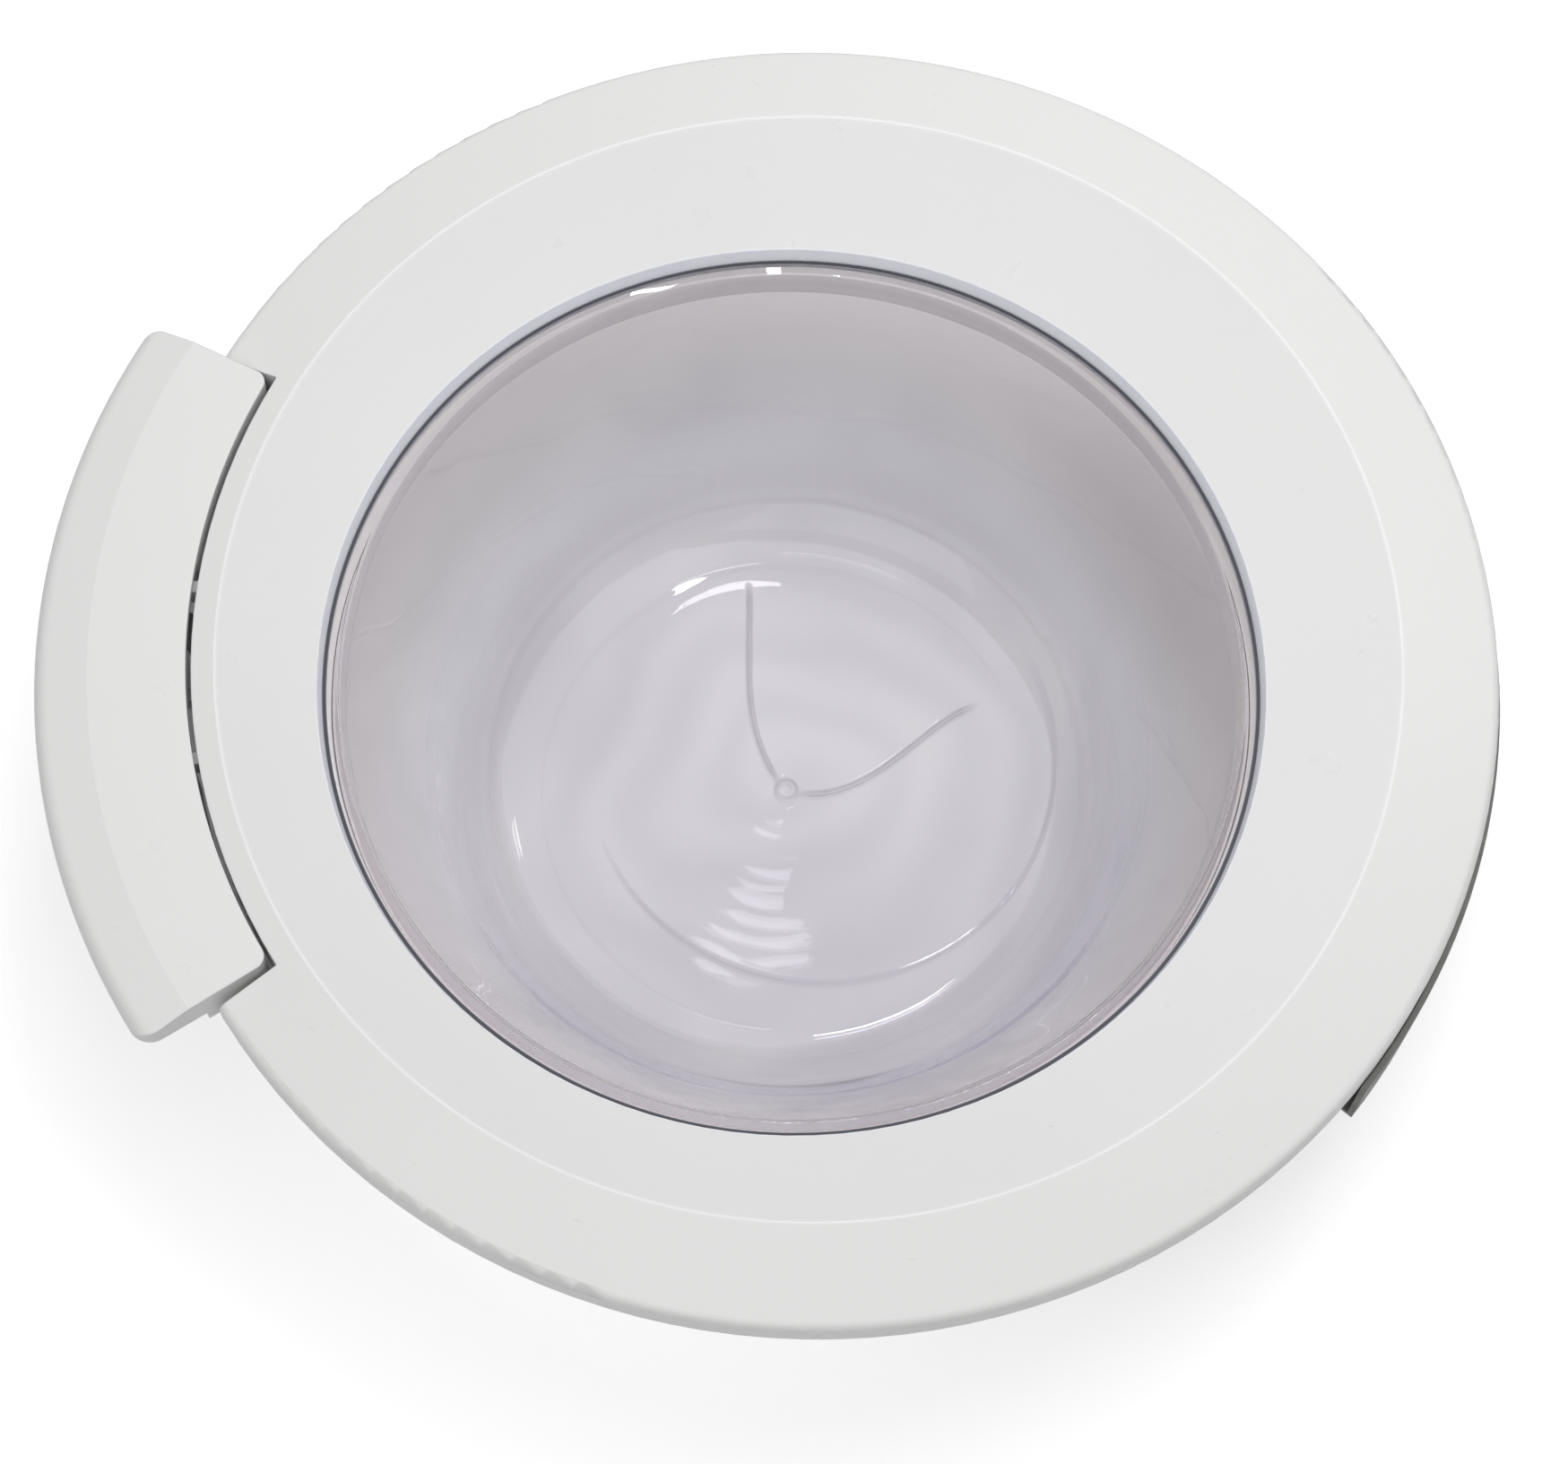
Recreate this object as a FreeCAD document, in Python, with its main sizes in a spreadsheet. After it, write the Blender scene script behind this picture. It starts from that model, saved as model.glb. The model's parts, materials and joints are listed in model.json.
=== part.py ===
"""Front door of a front-loading washing machine, lying face up on the foot of its glass bowl.

The origin is the centre of the glass foot, on the bowl's axis. +Z is the front of the door,
-X is the handle side and +X is the hinge side. The round frame has its own axis, set off
from the bowl's axis towards the hinge.
"""
import FreeCAD, Part
import math
import os
import Sketcher

V = FreeCAD.Vector

SIZES = [
    # Levels, from the foot of the glass up
    ("glass_depth", 112.0),
    ("flange_thickness", 6.0),
    ("seat_rise", 12.0),
    ("lip_height", 6.0),
    ("dish_depth", 29.5),
    ("skirt_height", 12.1),
    ("tongue_shoulder", 5.5),
    # Glass bowl
    ("mouth_radius", 149.8),
    ("flange_width", 18.2),
    ("bend_radius", 2.0),
    ("wall_slope", 21.9),
    ("glass_thickness", 5.5),
    ("bowl_corner", 28.0),
    ("pip_radius", 3.7),
    ("pip_height", 0.8),
    # Glass seal
    ("seal_leg", 1.0),
    ("seal_web", 2.0),
    ("seal_gap", 0.3),
    ("seal_show", 1.4),
    ("seal_rear_leg", 8.0),
    # Outer frame
    ("ring_shift", 7.0),
    ("lip_reveal", 7.8),
    ("lip_taper", 1.2),
    ("dish_width", 35.5),
    ("crease_shift", 4.35),
    ("band_width", 31.9),
    ("band_slope", 18.0),
    ("rim_roll", 4.0),
    ("frame_wall", 2.8),
    # Inner frame
    ("tongue_gap", 0.3),
    ("tongue_height", 8.0),
    ("tongue_wall", 2.5),
    ("rear_inset", 11.0),
    ("rear_roll", 8.0),
    ("rear_wall", 2.5),
    ("bore_gap", 1.5),
    ("seat_rib", 5.5),
    ("seat_trench", 4.0),
    ("latch_room", 20.1),
    ("shelf_room", 7.0),
    # Handle
    ("handle_half_angle", 29.85),
    ("handle_gap", 1.8),
    ("handle_end_gap", 0.47),
    ("handle_drift", 1.2),
    ("handle_overhang", 30.5),
    ("handle_bow", 20.0),
    ("handle_bevel", 18.5),
    ("handle_top_drop", 3.6),
    ("handle_fall", 1.9),
    ("handle_bevel_fall", 5.7),
    ("handle_skirt", 7.3),
    ("handle_depth", 6.0),
    ("handle_edge_roll", 7.0),
    ("handle_corner", 7.5),
    ("handle_inner_corner", 4.5),
    ("handle_wall", 2.5),
    ("finger_room", 24.0),
    ("seat_clearance", 0.3),
    # Handle pivot
    ("pivot_offset", 6.0),
    ("pivot_pin_radius", 2.0),
    ("pivot_fit", 0.06),
    ("pivot_barrel", 4.3),
    ("pivot_cover", 2.1),
    ("lug_inner", 28.0),
    ("lug_width", 4.0),
    ("lug_gap", 0.3),
    ("lug_headroom", 1.6),
    ("pin_overhang", 1.5),
    ("lever_width", 10.0),
    ("lever_reach", 9.0),
    ("lever_drop", 12.0),
    ("lever_height", 6.0),
    ("slot_gap", 0.3),
    ("strip_thickness", 0.6),
    ("strip_gap", 0.3),
    ("strip_lean", 30.0),
    # Latch
    ("latch_rise", 19.0),
    ("latch_pin_radius", 2.0),
    ("hook_width", 10.0),
    ("hook_boss", 6.0),
    ("hook_eye_wall", 3.0),
    ("hook_shank", 7.0),
    ("hook_length", 54.0),
    ("hook_barb", 8.0),
    ("hook_barb_height", 8.0),
    ("tail_reach", 13.0),
    ("tail_gap", 0.6),
    ("tail_height", 3.5),
    ("cheek_gap", 0.5),
    ("cheek_wall", 2.5),
    ("latch_base_gap", 1.75),
    ("latch_base_rim", 1.3),
    ("latch_base_half", 26.0),
    ("latch_screw_edge", 7.0),
    ("leaf_spring_width", 8.0),
    ("peg_radius", 1.5),
    # Hinge
    ("hinge_half_angle", 41.7),
    ("hinge_stand", 2.3),
    ("hinge_width", 33.0),
    ("hinge_sheet", 2.0),
    ("hinge_top_gap", 1.5),
    ("hinge_axis_inset", 11.0),
    ("hinge_barrel_gap", 1.7),
    ("hinge_pin_radius", 3.0),
    ("hinge_fit", 0.05),
    ("hinge_head", 1.8),
    ("hinge_clip_width", 1.2),
    ("bush_wall", 1.0),
    ("bush_length", 12.0),
    ("bush_flange", 0.8),
    ("barrel_radius", 5.8),
    ("barrel_half", 30.0),
    ("ear_sheet", 3.0),
    ("ear_gap", 0.2),
    ("leaf_thickness", 3.0),
    ("leaf_neck", 12.0),
    ("leaf_edge", 8.5),
    ("leaf_hole_radius", 2.75),
    ("leaf_hole_near", 16.0),
    ("leaf_hole_pitch", 22.0),
    ("leaf_hole_half", 28.0),
    # Screws
    ("screw_radius", 2.0),
    ("screw_bore_gap", 0.1),
    ("screw_head_radius", 3.9),
    ("screw_head_height", 2.4),
    ("screw_length", 14.4),
    ("boss_wall", 2.6),
    ("frame_screw_inset", 24.0),
    ("frame_screw_sink", 14.0),
    ("frame_screw_margin", 6.6),
    ("screw_floor", 2.4),
    ("head_gap", 0.4),
    ("hinge_screw_inset", 22.0),
    ("hinge_screw_length", 12.0),
    ("hinge_screw_margin", 10.6),
    ("handle_screw_inset", 11.0),
    ("handle_screw_length", 10.0),
]

FRAME_SCREWS_PER_SIDE = 4

doc = FreeCAD.newDocument("washing_machine_door")
sheet = doc.addObject("Spreadsheet::Sheet", "sizes")


class Bound:
    """A size worked out from the sheet: its number now and the formula that keeps it true."""

    def __init__(self, number, formula):
        self.number = number
        self.formula = formula

    def __add__(self, other):
        other = bound(other)
        return Bound(self.number + other.number, f"({self.formula} + {other.formula})")

    def __sub__(self, other):
        other = bound(other)
        return Bound(self.number - other.number, f"({self.formula} - {other.formula})")

    def __mul__(self, other):
        other = bound(other)
        return Bound(self.number * other.number, f"({self.formula} * {other.formula})")

    def __truediv__(self, other):
        other = bound(other)
        return Bound(self.number / other.number, f"({self.formula} / {other.formula})")

    def __neg__(self):
        return Bound(-self.number, f"(0 - {self.formula})")

    def __radd__(self, other):
        return bound(other) + self

    def __rsub__(self, other):
        return bound(other) - self

    def __rmul__(self, other):
        return bound(other) * self


def bound(value):
    """A plain number as a bound size; a bound size stays as it is."""
    if isinstance(value, Bound):
        return value
    return Bound(float(value), repr(float(value)))


def turned(function, name, angle):
    """A trigonometric function of an angle in degrees."""
    angle = bound(angle)
    return Bound(function(math.radians(angle.number)), f"{name}({angle.formula})")


def sine(angle):
    return turned(math.sin, "sin", angle)


def cosine(angle):
    return turned(math.cos, "cos", angle)


def tangent(angle):
    return turned(math.tan, "tan", angle)


def root(value):
    """The square root of a bound size."""
    return Bound(math.sqrt(value.number), f"sqrt({value.formula})")


def fill_sheet():
    """Write every size into the sheet and return them all by name."""
    found = {}
    for row, (alias, value) in enumerate(SIZES, start=1):
        cell = f"B{row}"
        sheet.set(f"A{row}", alias)
        sheet.set(cell, repr(value))
        sheet.setAlias(cell, alias)
        found[alias] = Bound(value, f"sizes.{alias}")
    doc.recompute()
    return found


class Named:
    """The sizes as attributes, so that a formula reads as plain words."""

    def __init__(self, found):
        self.__dict__.update(found)


size = Named(fill_sheet())


def band_level(radius):
    """Height of the sloping outer band at a radius from the ring's axis."""
    return size.crease_level - (radius - size.crease_radius) * tangent(size.band_slope)


def work_out_levels():
    """Heights above the foot of the glass."""
    size.seat_level = size.glass_depth - size.flange_thickness - size.seal_leg
    size.rear_level = size.seat_level - size.seat_rise
    size.floor_level = size.rear_level + size.rear_wall
    size.lip_seat_level = size.glass_depth + size.seal_leg
    size.lip_level = size.lip_seat_level + size.lip_height
    size.crease_level = size.lip_level + size.dish_depth
    size.skirt_level = band_level(size.rim_radius) - size.skirt_height
    size.flange_level = size.skirt_level - size.tongue_shoulder
    size.handle_top_level = size.crease_level - size.handle_top_drop
    size.handle_crease_level = size.handle_top_level - size.handle_fall
    size.handle_edge_level = size.handle_crease_level - size.handle_bevel_fall
    size.handle_skirt_level = size.handle_edge_level - size.handle_skirt
    size.handle_rear_level = size.handle_skirt_level - size.handle_depth
    size.shelf_level = size.handle_rear_level - size.shelf_room
    size.pivot_level = size.handle_top_level - size.handle_wall - size.pivot_cover - size.pivot_barrel
    size.latch_level = size.rear_level + size.latch_rise
    size.hinge_plate_level = size.rear_level - size.hinge_sheet
    size.hinge_flange_top = size.skirt_level - size.hinge_top_gap
    size.hinge_axis_level = size.hinge_plate_level - size.barrel_radius - size.hinge_barrel_gap
    size.frame_screw_level = size.rear_level + size.frame_screw_sink
    size.frame_boss_level = size.frame_screw_level + size.screw_floor + size.seat_clearance


def work_out_glass_radii():
    """Radii about the bowl's axis."""
    size.lip_radius = size.mouth_radius + size.lip_reveal
    size.flange_radius = size.mouth_radius + size.flange_width
    size.bore_radius = size.mouth_radius + size.glass_thickness + size.bore_gap
    size.seal_radius = size.flange_radius + size.seal_gap + size.seal_web
    size.locating_radius = size.seal_radius + size.seal_gap
    size.channel_radius = size.locating_radius + size.tongue_wall


def work_out_ring_radii():
    """Radii about the ring's axis."""
    size.crease_radius = size.lip_radius + size.dish_width
    size.rim_radius = size.crease_radius + size.band_width
    size.wall_inside = size.rim_radius - size.frame_wall
    size.tongue_radius = size.wall_inside - size.tongue_gap
    size.rear_wall_radius = size.rim_radius - size.rear_inset
    size.rib_radius = size.channel_radius + size.ring_shift + size.latch_room
    size.notch_radius = size.rib_radius + size.frame_wall
    size.latch_radius = size.rib_radius - size.latch_room / 2
    size.pivot_radius = size.notch_radius + size.pivot_offset
    size.handle_front_radius = size.notch_radius + size.handle_gap
    size.handle_radius = size.rim_radius + size.handle_overhang
    size.handle_arc = size.handle_radius - size.handle_bow
    size.handle_pull = size.handle_radius - size.handle_front_radius
    size.grip_radius = size.handle_radius - size.handle_wall - size.finger_room
    size.hinge_flange_radius = size.rim_radius + size.hinge_stand
    size.hinge_inner_radius = size.rim_radius - size.hinge_width
    size.hinge_axis_radius = size.rim_radius - size.hinge_axis_inset
    size.frame_screw_radius = size.rim_radius - size.frame_screw_inset
    size.hinge_screw_radius = size.rim_radius - size.hinge_screw_inset


work_out_glass_radii()
work_out_ring_radii()
work_out_levels()


def new_body(label):
    body = doc.addObject("PartDesign::Body", label)
    body.Label = label
    return body


def new_sketch(body, name, role, shift=(0, 0, 0)):
    """A sketch on one of the body's own planes, moved along its own x, y and normal."""
    sketch = body.newObject("Sketcher::SketchObject", name)
    plane = [item for item in body.Origin.OriginFeatures if item.Role == role][0]
    sketch.AttachmentSupport = [(plane, "")]
    sketch.MapMode = "FlatFace"
    for letter, amount in zip("xyz", shift):
        if isinstance(amount, Bound) or amount:
            sketch.setExpression(f"AttachmentOffset.Base.{letter}", bound(amount).formula)
    return sketch


def arc_between(start, end, radius, left):
    """An arc from start to end whose centre is on the left or the right of the way."""
    chord = end - start
    half = chord.Length / 2
    height = math.sqrt(max(radius * radius - half * half, 0))
    side = V(-chord.y, chord.x, 0)
    side.normalize()
    centre = start + chord * 0.5 + side * (height if left else -height)
    first, last = (start, end) if left else (end, start)
    angle_first = math.atan2(first.y - centre.y, first.x - centre.x)
    angle_last = math.atan2(last.y - centre.y, last.x - centre.x)
    return Part.ArcOfCircle(Part.Circle(centre, V(0, 0, 1), radius), angle_first, angle_last)


def pin_along(sketch, geometry, end, kind, amount):
    """Hold one end or the centre of an edge at a distance from the sketch's origin."""
    amount = bound(amount)
    if amount.number == 0:
        axis = -2 if kind == "DistanceX" else -1
        sketch.addConstraint(Sketcher.Constraint("PointOnObject", geometry, end, axis))
        return
    place = sketch.addConstraint(Sketcher.Constraint(kind, -1, 1, geometry, end, amount.number))
    sketch.setExpression(f"Constraints[{place}]", amount.formula)


def pin_point(sketch, geometry, end, x, y):
    pin_along(sketch, geometry, end, "DistanceX", x)
    pin_along(sketch, geometry, end, "DistanceY", y)


def fix_radius(sketch, edge, start, end, radius):
    """Hold an arc's radius; a half circle is held by its centre instead."""
    chord = V(bound(end[0]).number - bound(start[0]).number, bound(end[1]).number - bound(start[1]).number, 0)
    if chord.Length < 1.9999 * bound(radius).number:
        place = sketch.addConstraint(Sketcher.Constraint("Radius", edge, bound(radius).number))
        sketch.setExpression(f"Constraints[{place}]", bound(radius).formula)
    elif abs(chord.x) < abs(chord.y):
        pin_along(sketch, edge, 3, "DistanceX", start[0])
    else:
        pin_along(sketch, edge, 3, "DistanceY", start[1])


def draw_outline(sketch, points, arcs=None):
    """A closed outline; arcs maps an edge's number to its radius and its centre's side."""
    arcs = arcs or {}
    count = len(points)
    corners = [V(bound(x).number, bound(y).number, 0) for x, y in points]
    edges = []
    for index in range(count):
        start = corners[index]
        end = corners[(index + 1) % count]
        if index in arcs:
            radius, left = arcs[index]
            edge = sketch.addGeometry(arc_between(start, end, bound(radius).number, left), False)
            edges.append((edge, 1, 2) if left else (edge, 2, 1))
        else:
            edge = sketch.addGeometry(Part.LineSegment(start, end), False)
            edges.append((edge, 1, 2))
    for index in range(count):
        edge, first, last = edges[index]
        after, after_first, after_last = edges[(index + 1) % count]
        sketch.addConstraint(Sketcher.Constraint("Coincident", edge, last, after, after_first))
    for index, (x, y) in enumerate(points):
        edge, first, last = edges[index]
        pin_point(sketch, edge, first, x, y)
    for index, (radius, left) in arcs.items():
        fix_radius(sketch, edges[index][0], points[index], points[(index + 1) % count], radius)


def draw_circle(sketch, x, y, radius):
    centre = V(bound(x).number, bound(y).number, 0)
    circle = sketch.addGeometry(Part.Circle(centre, V(0, 0, 1), bound(radius).number), False)
    pin_point(sketch, circle, 3, x, y)
    place = sketch.addConstraint(Sketcher.Constraint("Radius", circle, bound(radius).number))
    sketch.setExpression(f"Constraints[{place}]", bound(radius).formula)


def box_points(x_low, x_high, y_low, y_high):
    return [(x_low, y_low), (x_high, y_low), (x_high, y_high), (x_low, y_high)]


def spin(body, kind, sketch, angle=360):
    """Turn a sketch about its own upright axis, evenly to both sides of its plane."""
    feature = body.newObject(f"PartDesign::{kind}", f"{sketch.Name}_{kind}")
    feature.Profile = sketch
    feature.ReferenceAxis = (sketch, ["V_Axis"])
    angle = bound(angle)
    feature.Angle = angle.number
    if angle.number < 360:
        feature.Midplane = True
        feature.setExpression("Angle", angle.formula)
    return feature


def extrude(body, kind, sketch, length, midplane=False, reverse=False):
    """Pad or pocket a sketch along its normal."""
    feature = body.newObject(f"PartDesign::{kind}", f"{sketch.Name}_{kind}")
    feature.Profile = sketch
    feature.Midplane = midplane
    feature.Reversed = reverse
    feature.setExpression("Length", bound(length).formula)
    return feature


def along_y(body, kind, name, points, y_low, y_high, arcs=None):
    """An outline in the X-Z plane, about the ring's axis, carried from one y to another."""
    sketch = new_sketch(body, name, "XZ_Plane", (size.ring_shift, 0, -bound(y_high)))
    draw_outline(sketch, points, arcs)
    return extrude(body, kind, sketch, bound(y_high) - y_low, reverse=kind == "Pocket")


def rod_along_y(body, kind, name, x, z, radius, y_low, y_high):
    """A round bar or bore parallel to Y, placed from the ring's axis."""
    sketch = new_sketch(body, name, "XZ_Plane", (size.ring_shift, 0, -bound(y_high)))
    draw_circle(sketch, x, z, radius)
    return extrude(body, kind, sketch, bound(y_high) - y_low, reverse=kind == "Pocket")


def ring_sector(body, kind, name, points, angle=360, arcs=None):
    """An outline turned about the ring's axis."""
    sketch = new_sketch(body, name, "XZ_Plane", (size.ring_shift, 0, 0))
    draw_outline(sketch, points, arcs)
    return spin(body, kind, sketch, angle)


def bowl_turn(body, kind, name, points, arcs=None):
    """An outline turned about the bowl's axis."""
    sketch = new_sketch(body, name, "XZ_Plane")
    draw_outline(sketch, points, arcs)
    return spin(body, kind, sketch)


def discs(body, kind, name, places, radius, level, height):
    """Round bosses up from a level, or bores down from it, placed from the ring's axis."""
    sketch = new_sketch(body, name, "XY_Plane", (size.ring_shift, 0, level))
    for x, y in places:
        draw_circle(sketch, x, y, radius)
    return extrude(body, kind, sketch, height)


def around(radius, angles):
    """Places on a circle about the ring's axis, mirrored across the X axis."""
    places = []
    for angle in angles:
        places += mirrored(radius * cosine(angle), radius * sine(angle))
    return places


def mirrored(x, y):
    """A place and its mirror image across the X axis."""
    return [(x, y), (x, -bound(y))]


# Lines and places that several pieces share
def wall_angle(radius):
    """The angle that one frame wall takes up at a radius."""
    return size.frame_wall / radius * (180 / math.pi)


def frame_screw_angles():
    """Even steps from the hinge's end to the notch's end."""
    first = size.hinge_half_angle + size.frame_screw_margin * 2
    last = 180 - notch_half_angle - size.frame_screw_margin
    step = (last - first) / (FRAME_SCREWS_PER_SIDE - 1)
    return [first + step * number for number in range(FRAME_SCREWS_PER_SIDE)]


def hinge_screw_places():
    """One screw just past each ear and one near each end of the hinge plate."""
    near = hinge_ear_end + size.screw_head_radius * 2.5
    across = root(size.hinge_screw_radius * size.hinge_screw_radius - near * near)
    return mirrored(across, near) + around(size.hinge_screw_radius, [size.hinge_half_angle - size.hinge_screw_margin])


notch_half_angle = size.handle_half_angle + size.handle_end_gap
screw_bore = size.screw_radius + size.screw_bore_gap
screw_boss = screw_bore + size.boss_wall
hinge_ear_start = size.barrel_half + size.bush_flange + size.ear_gap
hinge_ear_end = hinge_ear_start + size.ear_sheet
hinge_places = hinge_screw_places()
frame_places = around(size.frame_screw_radius, frame_screw_angles())
latch_places = mirrored(-size.latch_radius, size.latch_base_half - size.latch_screw_edge)
handle_places = around(-(size.grip_radius - size.handle_screw_inset), [size.handle_half_angle * 2 / 3])
latch_base_reach = size.latch_room / 2 - size.latch_base_gap
latch_slot_reach = latch_base_reach - size.latch_base_rim
pivot_pin_half = size.lug_inner + size.lug_width + size.pin_overhang
hook_tail_top = size.pivot_level - size.lever_drop - size.tail_gap
hook_tail_low = hook_tail_top - size.tail_height
spring_peg_x = -(size.notch_radius + size.rear_wall_radius - size.rear_wall) / 2
barrel_start = size.lever_width / 2 + size.handle_wall
spring_start = barrel_start + size.handle_drift + size.lug_gap
spring_end = size.lug_inner - size.pivot_barrel - size.lug_gap


def cut_dish(body, prefix, wall):
    """Cut the space over the dished inner face, or that space grown by a wall.

    The face is a slanted cone: round about the bowl's axis at the lip and
    shifted towards the ring's axis at the crease.
    """
    slope = size.dish_depth / size.dish_width
    level = size.lip_level - wall * (root(slope * slope + 1) - slope)
    bowl_turn(body, "Groove", f"{prefix}_mouth", [
        (0, size.rear_level),
        (size.lip_radius - size.lip_taper + wall, size.rear_level),
        (size.lip_radius - size.lip_taper + wall, size.lip_seat_level),
        (size.lip_radius + wall, level),
        (0, level),
    ])
    rings = []
    for name, share in (("low", 0), ("high", 2)):
        ring = new_sketch(body, f"{prefix}_cone_{name}", "XY_Plane",
                          (size.crease_shift * share, 0, level + size.dish_depth * share))
        draw_circle(ring, 0, 0, size.lip_radius + wall + size.dish_width * share)
        rings.append(ring)
    cone = body.newObject("PartDesign::SubtractiveLoft", f"{prefix}_cone")
    cone.Profile = rings[0]
    cone.Sections = [rings[1]]
    cone.Ruled = True


def make_frame_hollow():
    """The hollow behind the front moulding, one wall inside its visible faces."""
    body = new_body("frame_hollow")
    wall = size.frame_wall
    inner = size.lip_radius - size.ring_shift * 2
    outer = size.rim_radius - wall
    drop = wall / cosine(size.band_slope)
    ring_sector(body, "Revolution", "hollow_band", [
        (inner, size.seat_level),
        (outer, size.seat_level),
        (outer, band_level(outer) - drop),
        (inner, band_level(inner) - drop),
    ])
    cut_dish(body, "hollow", wall)
    ring_sector(body, "Groove", "hollow_notch", box_points(
        -size.handle_radius, -size.rib_radius, size.rear_level, size.crease_level + wall),
        (notch_half_angle + wall_angle(size.rim_radius)) * 2)
    return body


def make_outer_frame():
    """White front moulding: sloping band, rounded rim, dished inner face and a handle notch."""
    body = new_body("outer_frame")
    roll = size.rim_roll
    reach = roll * tangent((90 - size.band_slope) / 2)
    corner_level = band_level(size.rim_radius)
    inner = size.lip_radius - size.ring_shift * 2
    ring_sector(body, "Revolution", "band", [
        (inner, size.lip_seat_level),
        (size.lip_radius + size.ring_shift * 2, size.lip_seat_level),
        (size.rim_radius, size.skirt_level),
        (size.rim_radius, corner_level - reach),
        (size.rim_radius - reach * cosine(size.band_slope), corner_level + reach * sine(size.band_slope)),
        (inner, band_level(inner)),
    ], arcs={3: (roll, True)})
    cut_dish(body, "dish", bound(0))
    ring_sector(body, "Groove", "notch", box_points(
        -size.handle_radius, -size.notch_radius, size.rear_level, size.crease_level), notch_half_angle * 2)
    hollow = body.newObject("PartDesign::Boolean", "hollowing")
    hollow.Type = "Cut"
    hollow.addObjects([make_frame_hollow()])
    boss_top = band_level(size.frame_screw_radius) - size.frame_wall / 2
    discs(body, "Pad", "screw_bosses", frame_places, screw_boss, size.frame_boss_level,
          boss_top - size.frame_boss_level)
    discs(body, "Pocket", "screw_bores", frame_places, screw_bore,
          size.frame_boss_level + size.screw_length, size.screw_length)
    for side, name in ((1, "upper"), (-1, "lower")):
        low, high = sorted_pair(side * size.lug_inner, side * (size.lug_inner + size.lug_width))
        along_y(body, "Pad", f"lug_{name}", lug_outline(), low, high, {3: (size.pivot_barrel, True)})
        rod_along_y(body, "Pocket", f"lug_bore_{name}", -size.pivot_radius, size.pivot_level,
                    size.pivot_pin_radius + size.pivot_fit, low, high)
    half = size.lever_width / 2 + size.handle_drift + size.slot_gap
    along_y(body, "Pocket", "lever_slot", box_points(
        -size.notch_radius - size.frame_wall / 2, -size.rib_radius + size.frame_wall / 2,
        size.rear_level, size.pivot_level + size.pivot_barrel), -half, half)
    return body


def sorted_pair(first, second):
    return (first, second) if first.number < second.number else (second, first)


def lug_outline():
    """Side view of a lug that carries the handle's pin, rooted in the middle of the notch wall."""
    middle = size.notch_radius - size.frame_wall / 2
    far = size.lug_inner + size.lug_width
    root_x = -root(middle * middle - far * far)
    return [
        (-size.pivot_radius, size.pivot_level - size.pivot_barrel),
        (root_x, size.pivot_level - size.pivot_barrel),
        (root_x, size.pivot_level + size.pivot_barrel),
        (-size.pivot_radius, size.pivot_level + size.pivot_barrel),
    ]


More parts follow.
